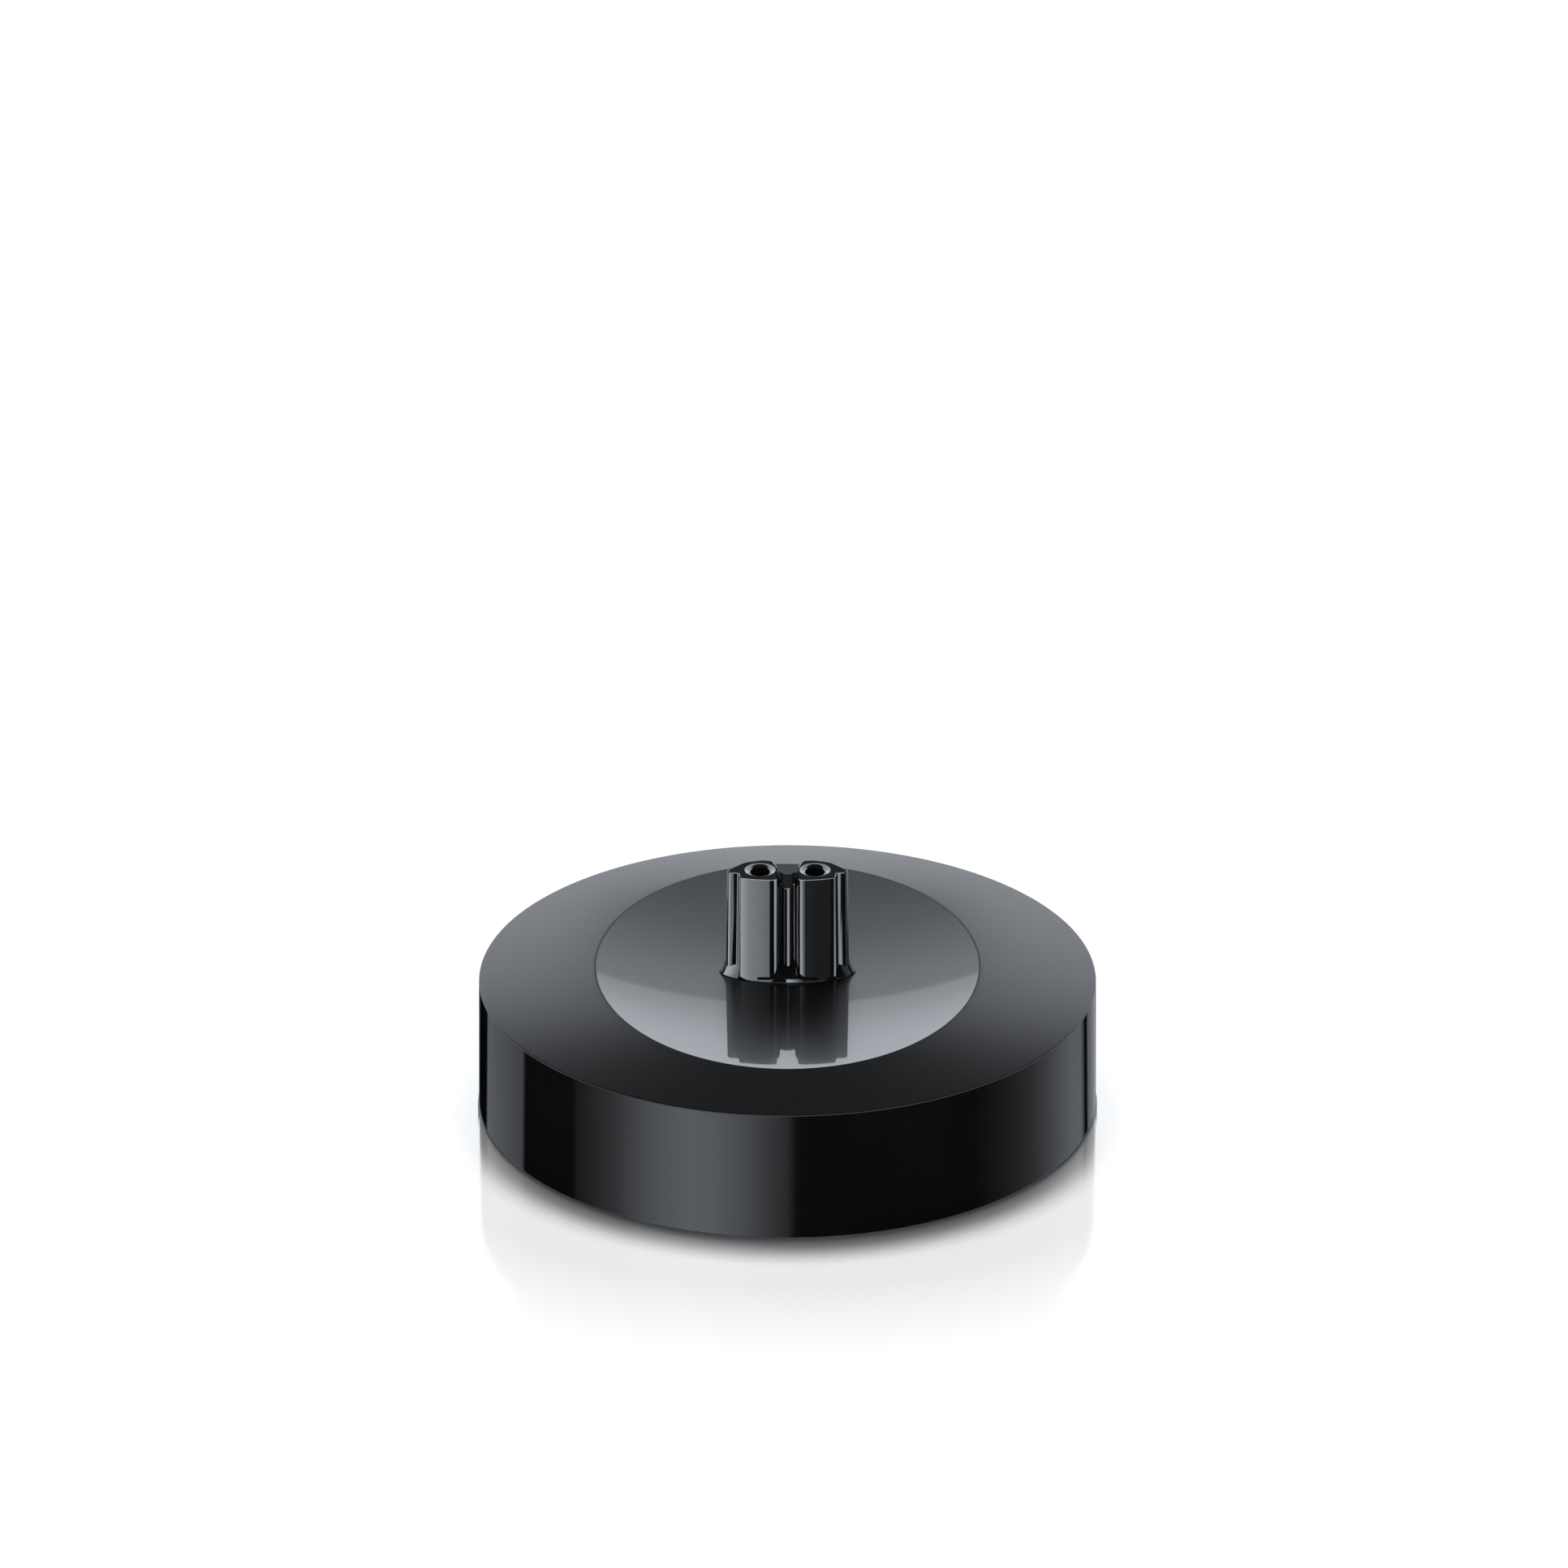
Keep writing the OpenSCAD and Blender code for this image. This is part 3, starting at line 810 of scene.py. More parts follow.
    def combine(self, tool: "Workpiece", operation: str = "DIFFERENCE") -> "Workpiece":
        """Cuts this piece with another one, or joins them, and uses the other one up.

        Args:
            tool: The other piece.
            operation: DIFFERENCE, UNION or INTERSECT.

        Returns:
            This piece.
        """
        pick(self.obj)
        modifier = self.obj.modifiers.new("combine", "BOOLEAN")
        modifier.operation = operation
        modifier.solver = "EXACT"
        modifier.object = tool.obj
        bpy.ops.object.modifier_apply(modifier=modifier.name)
        bpy.data.objects.remove(tool.obj, do_unlink=True)
        return self

    def copied(self, name: str, turn: float = 0.0, mirrored: bool = False) -> "Workpiece":
        """Makes a copy with its own mesh, turned about the stand's axis or mirrored left to right.

        Args:
            name: Name of the copy.
            turn: Turn in degrees.
            mirrored: Whether left and right change places.

        Returns:
            The copy.
        """
        pick(self.obj)
        bpy.ops.object.duplicate(linked=False)
        copy = Workpiece(name)
        if turn or mirrored:
            copy.obj.rotation_euler.z = math.radians(turn)
            copy.obj.scale.x = -1.0 if mirrored else 1.0
            bpy.ops.object.transform_apply(location=True, rotation=True, scale=True)
        if mirrored:
            bpy.ops.object.mode_set(mode="EDIT")
            face_outward()
        return copy

    def spread(self, turns: Sequence[float] = (), mirrored: bool = False) -> "Workpiece":
        """Joins the piece's copies round the stand's axis, or the piece and its mirrored copy.

        Args:
            turns: Turns of the copies in degrees, which then take the piece's own place.
            mirrored: Whether a copy goes to the other side.

        Returns:
            The joined piece.
        """
        copies = [self.copied("copy", turn) for turn in turns]
        copies += [self.copied("copy", mirrored=True)] if mirrored else []
        if turns:
            bpy.data.objects.remove(self.obj, do_unlink=True)
            self.obj = copies.pop().obj
        clear_selection()
        for copy in copies:
            copy.obj.select_set(True)
        self.obj.select_set(True)
        bpy.context.view_layer.objects.active = self.obj
        bpy.ops.object.join()
        return self

    def moved(self, step: Point) -> "Workpiece":
        """Moves the whole piece by a step and gives it back.

        Args:
            step: The way it moves.

        Returns:
            This piece.
        """
        self.select_vertices(lambda v: True)
        bpy.ops.object.mode_set(mode="EDIT")
        bpy.ops.transform.translate(value=step)
        bpy.ops.object.mode_set(mode="OBJECT")
        return self

    def settle(self, angle: float = 32.0) -> bpy.types.Object:
        """Brings the piece to metres and smooths it where its faces meet at a small angle.

        Args:
            angle: Largest angle that is smoothed, in degrees.

        Returns:
            The finished object.
        """
        pick(self.obj)
        self.obj.scale = (MM, MM, MM)
        bpy.ops.object.transform_apply(location=True, rotation=True, scale=True)
        bpy.ops.object.shade_smooth_by_angle(angle=math.radians(angle))
        return self.obj


def _factors(axis: Axis, across: float, along: float) -> Point:
    """Gives the three resize factors for a ring's two directions."""
    return (across, along, 1.0) if axis is Axis.UP else (across, 1.0, along)


def clear_selection() -> None:
    """Deselects everything, so that the next operator works on one object alone."""
    if bpy.context.object and bpy.context.object.mode != "OBJECT":
        bpy.ops.object.mode_set(mode="OBJECT")
    bpy.ops.object.select_all(action="DESELECT")


def pick(obj: bpy.types.Object) -> None:
    """Selects one object alone and makes it the active one.

    Args:
        obj: The object.
    """
    clear_selection()
    obj.select_set(True)
    bpy.context.view_layer.objects.active = obj


def face_outward() -> None:
    """Turns the faces of the mesh in edit mode outward and leaves edit mode."""
    bpy.ops.mesh.select_all(action="SELECT")
    bpy.ops.mesh.normals_make_consistent(inside=False)
    bpy.ops.object.mode_set(mode="OBJECT")


def show_as(piece: bpy.types.Object, slot: str, *nodes: str) -> bpy.types.Object:
    """Lets a finished piece ride on the stand in place of the model's nodes.

    Args:
        piece: The finished object.
        slot: Not used.
        nodes: Names of the nodes that it stands for.

    Returns:
        The piece.
    """
    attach(piece, "root")
    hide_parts(*nodes)
    LOG.info("%s: %d faces, in place of %s", piece.name, len(piece.data.polygons), ", ".join(nodes))
    return piece


def dress(piece: bpy.types.Object, *finishes: bpy.types.Material) -> None:
    """Gives a piece its finishes in order.

    Args:
        piece: The piece.
        finishes: Its materials, by slot number.
    """
    piece.data.materials.clear()
    for finish in finishes:
        piece.data.materials.append(finish)


# Pieces


@dataclass
class Levels:
    """Heights and radii that several pieces share, in millimetres.

    Attributes:
        foot: Lower edge of the wall.
        rim: Height of the rim.
        seat: Height of the seat.
        film: Height of the film under the seat.
        roof: Underside of the housing's roof.
        ledge: Upper end of the rebate for the base.
        hem_r: Radius of the wall at its foot.
        rim_r: Radius of the wall at the rim.
        cavity_r: Radius inside the wall.
        rebate_r: Radius of the rebate for the base.
        plug_y: Place of the plug, front to back.
        inlet_z: Height of the inlet's middle.
        pole_x: Distance of a pole from the middle.
        screw_r: Distance of the base screws from the middle.
        screw_turns: Directions of the base screws in degrees.
        tower_screw_x: Distance of the tower's screws from the middle.
    """

    foot: float = field(default_factory=lambda: node_box("top_housing")[0].z)
    rim: float = 17.5
    seat: float = field(default_factory=lambda: node_box("top_housing")[1].z)
    film: float = field(default_factory=lambda: node_box("seat_film")[0].z)
    roof: float = field(default_factory=lambda: node_box("tower_gasket")[1].z)
    ledge: float = field(default_factory=lambda: node_box("base_seal")[1].z)
    hem_r: float = field(default_factory=lambda: node_box("top_housing")[1].x)
    rim_r: float = 39.0
    cavity_r: float = 36.6
    rebate_r: float = 37.8
    plug_y: float = field(default_factory=lambda: sum(c.y for c in node_box("contact_retainer")) / 2)
    inlet_z: float = field(default_factory=lambda: sum(c.z for c in node_box("inlet_gasket")) / 2)
    pole_x: float = field(default_factory=lambda: sum(c.x for c in node_box("right_contact")) / 2)
    screw_r: float = 31.0
    screw_turns: tuple[float, ...] = (18.0, 162.0, 198.0, 342.0)
    tower_screw_x: float = 12.4


@dataclass
class Housing:
    """The puck's upper shell: polished wall, rounded rim, grained slope and the seat's recess.

    Attributes:
        levels: Shared heights and radii.
        seat_half: Half width and half length of the seat's recess.
        skirt_half: Half width and half length of the hole for the plug.
        rim_round: Radius of the rim's rounding.
        hem_round: Radius of the hem's rounding.
        land: Width of the flat land round the seat.
        crown: How far the slope swells, as a share of its rise.
    """

    levels: Levels
    seat_half: tuple[float, float] = (24.2, 29.5)
    skirt_half: tuple[float, float] = (8.6, 3.4)
    rim_round: float = 0.15
    hem_round: float = 0.2
    land: float = 0.15
    crown: float = 0.12

    def _slope(self, start_r: float, start_z: float) -> list[Ring]:
        """Gives the rings from the round rim to the oval land.

        Args:
            start_r: Radius where the slope starts.
            start_z: Height where it starts.

        Returns:
            Rings, close together at both ends so that the slope keeps its own shading.
        """
        shares = (0.0, 0.015, 0.12, 0.3, 0.5, 0.7, 0.88, 0.985, 1.0)
        wide, long = (half + self.land for half in self.seat_half)
        rise = self.levels.seat - start_z
        return [
            Ring(start_r + (wide - start_r) * t, start_r + (long - start_r) * t,
                 start_z + rise * (t + self.crown * t * (1 - t)))
            for t in shares
        ]

    def build(self) -> Workpiece:
        """Models the shell ring by ring.

        Returns:
            The shell.
        """
        at = self.levels
        rim_centre = (at.rim_r - self.rim_round, at.rim - self.rim_round)
        hem_centre = (at.hem_r - self.hem_round, at.foot + self.hem_round)
        rim = arc(rim_centre, self.rim_round, 0.0, 80.0, 6)
        wide, long = self.seat_half
        hole = (*self.skirt_half, at.plug_y)
        rings = turned([(at.rebate_r, at.foot)])
        rings += turned(arc(hem_centre, self.hem_round, -90.0, 0.0, 4))
        rings += turned([(at.hem_r - 0.003, at.foot + 2 * self.hem_round)])
        rings += turned([(at.rim_r + 0.002, at.rim - 2 * self.rim_round)])
        rings += turned(rim)
        rings += self._slope(*rim[-1])[1:]
        rings += [
            Ring(wide + 0.004, long + 0.004, at.seat),
            Ring(wide, long, at.seat - 0.004),
            Ring(wide, long, at.film),
            Ring(hole[0], hole[1], at.film, hole[2]),
            Ring(hole[0], hole[1], at.roof, hole[2]),
        ]
        rings += turned([(at.cavity_r, at.roof), (at.cavity_r, at.ledge), (at.rebate_r, at.ledge),
                         (at.rebate_r, at.foot)])
        shell = Workpiece.lofted("top_shell", rings, count=288, shell=True)
        for part in self._inner_parts():
            shell.combine(part, "UNION")
        for tool in self._inner_cuts():
            shell.combine(tool)
        return shell

    def _inner_parts(self) -> list[Workpiece]:
        """Makes the posts for the screws, their ribs, the inlet's flat and the ribs behind its flange.

        Returns:
            The parts to join.
        """
        at = self.levels
        into_roof = at.roof + 0.1
        into_wall = at.cavity_r + 0.6
        profile = [(2.9, 4.3), (3.0, 4.4), (3.0, into_roof)]
        post = Workpiece.lofted("post", turned(profile), count=64)
        post.moved((at.screw_r, 0.0, 0.0))
        web = Workpiece.block("rib", (at.screw_r, -0.75, 5.3), (into_wall, 0.75, into_roof))
        post.combine(web, "UNION")
        profile = [(2.5, 10.0), (2.6, 10.1), (2.6, into_roof)]
        tower_post = Workpiece.lofted("tower_post", turned(profile), count=64)
        tower_post.moved((at.tower_screw_x, at.plug_y, 0.0))
        gasket_low, gasket_high = node_box("inlet_gasket")
        flat_x = gasket_high.x + 1.3
        flat = Workpiece.block("flat", (-flat_x, gasket_high.y, at.ledge),
                               (flat_x, at.rim_r, into_roof))
        profile = [(into_wall, 0.0), (into_wall, 20.0)]
        limit = Workpiece.lofted("limit", turned(profile), count=180)
        flat.combine(limit, "INTERSECT")
        flange_y = gasket_low.y - InletSocket.flange
        rib = Workpiece.block("rib", (10.2, flange_y - 2.0, at.ledge), (11.9, flange_y, into_roof))
        return [
            post.spread(at.screw_turns),
            tower_post.spread(mirrored=True),
            flat,
            rib.spread(mirrored=True),
        ]

    def _inner_cuts(self) -> list[Workpiece]:
        """Makes what cuts the screws' pilot holes and the opening for the inlet.

        Returns:
            The cutting tools.
        """
        at = self.levels
        profile = [(1.6, 3.8), (1.1, 4.7), (1.1, 11.0), (0.4, 11.3)]
        pilot = Workpiece.lofted("pilot", turned(profile), count=48)
        profile = [(1.3, 9.6), (0.9, 10.3), (0.9, 13.7), (0.3, 14.0)]
        tower_pilot = Workpiece.lofted("pilot", turned(profile), count=48)
        wide, high = (size + 0.2 for size in InletSocket.nose)
        opening = Workpiece.bar("opening", wide, high, 31.0, 41.0, (0.0, at.inlet_z), Axis.BACK)
        return [
            pilot.moved((at.screw_r, 0.0, 0.0)).spread(at.screw_turns),
            tower_pilot.moved((at.tower_screw_x, at.plug_y, 0.0)).spread(mirrored=True),
            opening,
        ]

    def paint(self, piece: bpy.types.Object) -> None:
        """Gives the wall its polish and the slope its grain.

        Args:
            piece: The finished shell.
        """
        grain = GrainedBlack("housing_grain", level=0.011, roughness=0.27, relief=0.008, sheen=0.8)
        dress(piece, GlossBlack("housing_polish").make(), grain.make())
        slope_r = (self.levels.rim_r - self.rim_round * 0.9) * MM
        for face in piece.data.polygons:
            on_top = face.normal.z > 0.9 and face.center.z > (self.levels.rim - 0.1) * MM
            face.material_index = int(on_top and face.center.xy.length < slope_r)

    def make(self) -> None:
        """Builds, dresses and places the shell."""
        piece = self.build().settle()
        self.paint(piece)
        show_as(piece, "housing_black", "top_housing")


@dataclass
class Seat:
    """The polished oval plate let into the housing.

    Attributes:
        levels: Shared heights and radii.
        edge: Radius of the plate's upper edge.
    """

    levels: Levels
    edge: float = 0.004

    def build(self) -> Workpiece:
        """Models the plate ring by ring round its hole.

        Returns:
            The plate.
        """
        low, high = node_box("seat_plate")
        wide, long = (half + 0.002 for half in Housing.seat_half)
        hole_wide, hole_long = Housing.skirt_half
        y = self.levels.plug_y
        bottom, top = low.z, high.z
        rings = [
            Ring(hole_wide, hole_long, bottom, y),
            Ring(wide, long, bottom),
            Ring(wide, long, top - self.edge),
            Ring(wide - self.edge * 0.3, long - self.edge * 0.3, top - self.edge * 0.3),
            Ring(wide - self.edge, long - self.edge, top),
            Ring(wide - 3 * self.edge, long - 3 * self.edge, top),
            Ring(hole_wide + 3 * self.edge, hole_long + 3 * self.edge, top, y),
            Ring(hole_wide + self.edge, hole_long + self.edge, top, y),
            Ring(hole_wide, hole_long, top - self.edge, y),
            Ring(hole_wide, hole_long, bottom, y),
        ]
        return Workpiece.lofted("seat_panel", rings, count=256, shell=True)

    def make(self) -> None:
        """Builds, dresses and places the plate."""
        piece = self.build().settle()
        dress(piece, SeatGloss("seat_lacquer").make())
        show_as(piece, "seat_gloss", "seat_plate")


@dataclass
class PlugTower:
    """The two-pole plug with its skirt.

    Attributes:
        levels: Shared heights and radii.
        half: Corners of the right half of the plug's section, from the web's front round to its back.
        rib: Half width, bow and place of the rib in the notch, front to back.
        taper: Size of the plug's top as a share of its foot.
        pole_x: Distance of a pole from the middle.
        socket_r: Radius of the pin hole.
        mouth_r: Radius of the funnel at the hole's mouth.
        mouth_depth: Depth of the funnel.
        scoop_r: Radius of the scoop between the lobes.
        scoop_depth: Depth of the scoop below the lobes' tops.
        web: Half width and length of the web behind the lobes' notch.
        skirt: Half width and half length of the skirt's foot.
        crest: Half width and half length of the skirt's upper end.
        skirt_h: Height of the skirt.
        soften: Radius of the plug's edges.
    """

    levels: Levels
    half: tuple[Corner, ...] = (
        (0.97, -0.7, 0.1), (1.0, -2.45, 0.06), (1.51, -3.1, 1.5), (3.8, -2.93, 9.0), (6.2, -2.4, 0.2),
        (6.4, -0.9, 0.12), (7.5, -0.85, 0.4), (7.85, -0.1, 0.35), (7.1, 0.75, 0.8),
        (5.5, 2.35, 1.8), (3.3, 2.98, 0.9), (1.95, 2.75, 0.5), (1.15, 0.35, 0.2),
    )
    rib: tuple[float, float, float] = (0.8, 0.5, -1.05)
    taper: float = 0.975
    pole_x: float = 3.45
    socket_r: float = 1.27
    mouth_r: float = 1.95
    mouth_depth: float = 0.3
    scoop_r: float = 1.35
    scoop_depth: float = 1.9
    web: tuple[float, float] = (1.9, 2.6)
    skirt: tuple[float, float] = (8.5, 3.3)
    crest: tuple[float, float] = (7.8, 1.2)
    skirt_h: float = 1.8
    soften: float = 0.15

    def build(self) -> Workpiece:
        """Models the plug, its skirt and its root, and cuts the sockets and the scoop.

        Returns:
            The plug, round the Z axis.
        """
        low, high = node_box("plug_tower")
        seat, top = self.levels.seat, high.z
        left = [(-x, y, r) for x, y, r in reversed(self.half)]
        plug = Workpiece.outlined("plug", [*self.half, *left], seat, top - seat, self.taper)
        plug.select_edges(lambda a, b, angle: angle > 45.0 and min(a.z, b.z) > top - 0.01)
        plug.round_selected(self.soften, clamped=False)
        web_x, web_y = self.web
        shelf = top - self.scoop_depth + 0.3
        plug.combine(Workpiece.block("web", (-web_x, 0.0, seat), (web_x, web_y, shelf)), "UNION")
        wide, long = self.skirt
        rings = [
            Ring(wide, long, low.z),
            Ring(wide, long, seat + 0.18),
            Ring(wide - 0.06, long - 0.05, seat + 0.3),
            Ring(wide - 0.2, long - 0.3, seat + 0.48),
            Ring(*self.crest, seat + self.skirt_h),
        ]
        plug.combine(Workpiece.lofted("skirt", rings, count=128), "UNION")
        for side in (-1, 1):
            plug.combine(self._socket_tool(side, low.z, top))
        plug.combine(self._scoop(top))
        return plug.combine(self._rib(seat, top), "UNION")

    def _socket_tool(self, side: int, low: float, top: float) -> Workpiece:
        """Makes what cuts one socket: its funnel with the pin hole, and the bore for its sleeve.

        Args:
            side: -1 for the left pole, 1 for the right one.
            low: Lowest level of the plug.
            top: Highest level of the plug.

        Returns:
            The cutting tool.
        """
        sleeve_top = node_box("left_contact")[1].z
        spread = 0.5 * (self.mouth_r - self.socket_r) / self.mouth_depth
        profile = [(1.7, low - 1.0), (1.7, sleeve_top), (self.socket_r, sleeve_top),
                   (self.socket_r, top - self.mouth_depth), (self.mouth_r + spread, top + 0.5)]
        tool = Workpiece.lofted("socket_tool", turned(profile), count=64)
        return tool.moved((side * self.pole_x, 0.0, 0.0))

    def _rib(self, seat: float, top: float) -> Workpiece:
        """Makes the rib that stands in the notch up to the scoop, with a soft upper edge.

        Args:
            seat: Level of its foot.
            top: Highest level of the plug.

        Returns:
            The rib.
        """
        wide, long, back = self.rib
        end = top - self.scoop_depth + 0.01
        rings = [Ring(wide, long, seat, back)]
        for inset, height in arc((-self.soften, end - self.soften), self.soften, 0.0, 80.0, 4):
            rings.append(Ring(wide * self.taper + inset, long * self.taper + inset, height,
                              back * self.taper))
        return Workpiece.lofted("rib", rings, count=64)

    def _scoop(self, top: float) -> Workpiece:
        """Makes the round-bottomed bar that cuts the scoop.

        Args:
            top: Highest level of the plug.

        Returns:
            The cutting tool.
        """
        reach = 6.0
        above = 3.0
        height = self.scoop_depth + above
        clear_selection()
        bpy.ops.mesh.primitive_circle_add(vertices=64, radius=self.scoop_r, fill_type="NGON",
                                          rotation=(math.radians(90), 0, 0))
        tool = Workpiece("scoop_tool")
        tool.select_vertices(lambda v: v.co.z > 1e-4)
        bpy.ops.object.mode_set(mode="EDIT")
        bpy.ops.transform.translate(value=(0.0, 0.0, height - 2 * self.scoop_r))
        bpy.ops.mesh.select_all(action="SELECT")
        bpy.ops.transform.translate(value=(0.0, -reach, top - self.scoop_depth + self.scoop_r))
        bpy.ops.mesh.extrude_region_move(TRANSFORM_OT_translate={"value": (0.0, 2 * reach, 0.0)})
        face_outward()
        return tool

    def make(self) -> None:
        """Builds, dresses and places the plug."""
        piece = self.build().moved((0.0, self.levels.plug_y, 0.0)).settle()
        polish = GlossBlack("plug_polish", level=0.005, roughness=0.07)
        dull = {"roughness": 0.5, "grain": 0.12, "sheen": 0.0}
        # The scoop's walls get a darker copy of the tops' grain: painted shade in the scoop. The tops
        # and the scoop's floor keep the lighter grey.
        dress(piece, polish.make(), GrainedBlack("plug_top_grain", level=0.016, **dull).make(),
              GrainedBlack("plug_scoop_painted_shade", level=0.004, **dull).make())
        top = max(v.co.z for v in piece.data.vertices)
        for face in piece.data.polygons:
            depth = (top - face.center.z) / MM
            on_top = face.normal.z > 0.99 and depth < 0.05
            in_scoop = (abs(face.center.x) < (self.scoop_r + 0.02) * MM
                        and 0.2 < depth < self.scoop_depth + 0.05 and abs(face.normal.y) < 0.3)
            scoop_floor = in_scoop and face.normal.z > 0.87
            # Scoop walls take the darker copy (painted shade); tops and the scoop's floor take the
            # lighter one.
            face.material_index = 1 if on_top or scoop_floor else 2 if in_scoop else 0
        show_as(piece, "plug_gloss", "plug_tower")


@dataclass
class InletSocket:
    """The recessed two-pin inlet in the rear of the wall, with the flange that seats it.

    Attributes:
        levels: Shared heights and radii.
        nose: Width and height outside.
        recess: Width and height of the recess.
        flange: Thickness of the flange.
        floor_y: Place of the recess's floor, front to back.
        mouth: Radius of the recess's edge.
    """

    levels: Levels
    nose: tuple[float, float] = (18.8, 10.0)
    recess: tuple[float, float] = (16.0, 7.2)
    flange: float = 1.6
    floor_y: float = 28.0
    mouth: float = 0.25

    def build(self) -> Workpiece:
        """Models the inlet and cuts its recess and the holes for its pins.

        Returns:
            The inlet, with its mouth still sharp.
        """
        low, high = node_box("inlet_socket")
        gasket_y = node_box("inlet_gasket")[0].y
        z = self.levels.inlet_z
        shell = Workpiece.bar("inlet_shell", *self.nose, low.y, high.y + 1.0, (0.0, z), Axis.BACK)
        flange = Workpiece.block("flange", (low.x, gasket_y - self.flange, low.z),
                                 (high.x, gasket_y, high.z))
        shell.combine(flange, "UNION")
        reach = self.levels.rim_r
        limit = Workpiece.lofted("limit", turned([(reach, 0.0), (reach, 20.0)]), count=240)
        shell.combine(limit, "INTERSECT")
        recess = Workpiece.bar("recess", *self.recess, self.floor_y, high.y + 2.0, (0.0, z),
                               Axis.BACK)
        shell.combine(recess)
        profile = [(Pins.collar_r, low.y - 0.5), (Pins.collar_r, self.floor_y + 0.5)]
        collar = Workpiece.lofted("collar", turned(profile, z), count=48, axis=Axis.BACK)
        return shell.combine(collar.moved((self.levels.pole_x, 0.0, 0.0)).spread(mirrored=True))

    def make(self) -> None:
        """Builds, dresses and places the inlet."""
        shell = self.build()
        half_w, half_h = (size / 2 + 0.05 for size in self.recess)
        shell.select_edges(
            lambda a, b, angle: angle > 40.0 and min(a.y, b.y) > 37.5
            and max(abs(a.x), abs(b.x)) < half_w
            and max(abs(p.z - self.levels.inlet_z) for p in (a, b)) < half_h
        )
        shell.round_selected(self.mouth)
        piece = shell.settle()
        moulding = GrainedBlack("inlet_moulding", level=0.012, roughness=0.34, grain=0.12,
                                relief=0.002)
        dress(piece, moulding.make())
        show_as(piece, "inlet_black", "inlet_socket")


@dataclass
class Pins:
    """The inlet's two round-nosed pins with their collars and soldering tails.

    Attributes:
        levels: Shared heights and radii.
        radius: Radius of a pin.
        collar_r: Radius of a collar.
        tail_r: Radius of a tail.
    """

    levels: Levels
    radius: float = 1.2
    collar_r: float = 1.5
    tail_r: float = 0.8

    def make(self) -> None:
        """Builds one pin, copies it to the other side, and dresses and places both."""
        low, high = node_box("right_pin")
        back = node_box("inlet_socket")[0].y
        floor = InletSocket.floor_y
        nose = arc((0.0, high.y - self.radius), self.radius, 0.0, 86.0, 10)
        profile = [(0.6, low.y), (self.tail_r, low.y + 0.2), (self.tail_r, back),
                   (self.collar_r, back), (self.collar_r, floor - 0.1),
                   (self.collar_r - 0.1, floor), (self.radius, floor), *nose]
        finish = Metal("pin_plating", (0.86, 0.84, 0.8), (0.62, 0.6, 0.57), roughness=0.16).make()
        pin = Workpiece.lofted("pin_right", turned(profile, self.levels.inlet_z), count=64,
                               axis=Axis.BACK)
        pin.moved((self.levels.pole_x, 0.0, 0.0))
        for side, one in (("left", pin.copied("pin_left", mirrored=True)), ("right", pin)):
            piece = one.settle()
            dress(piece, finish)
            show_as(piece, "pin_nickel", f"{side}_pin")


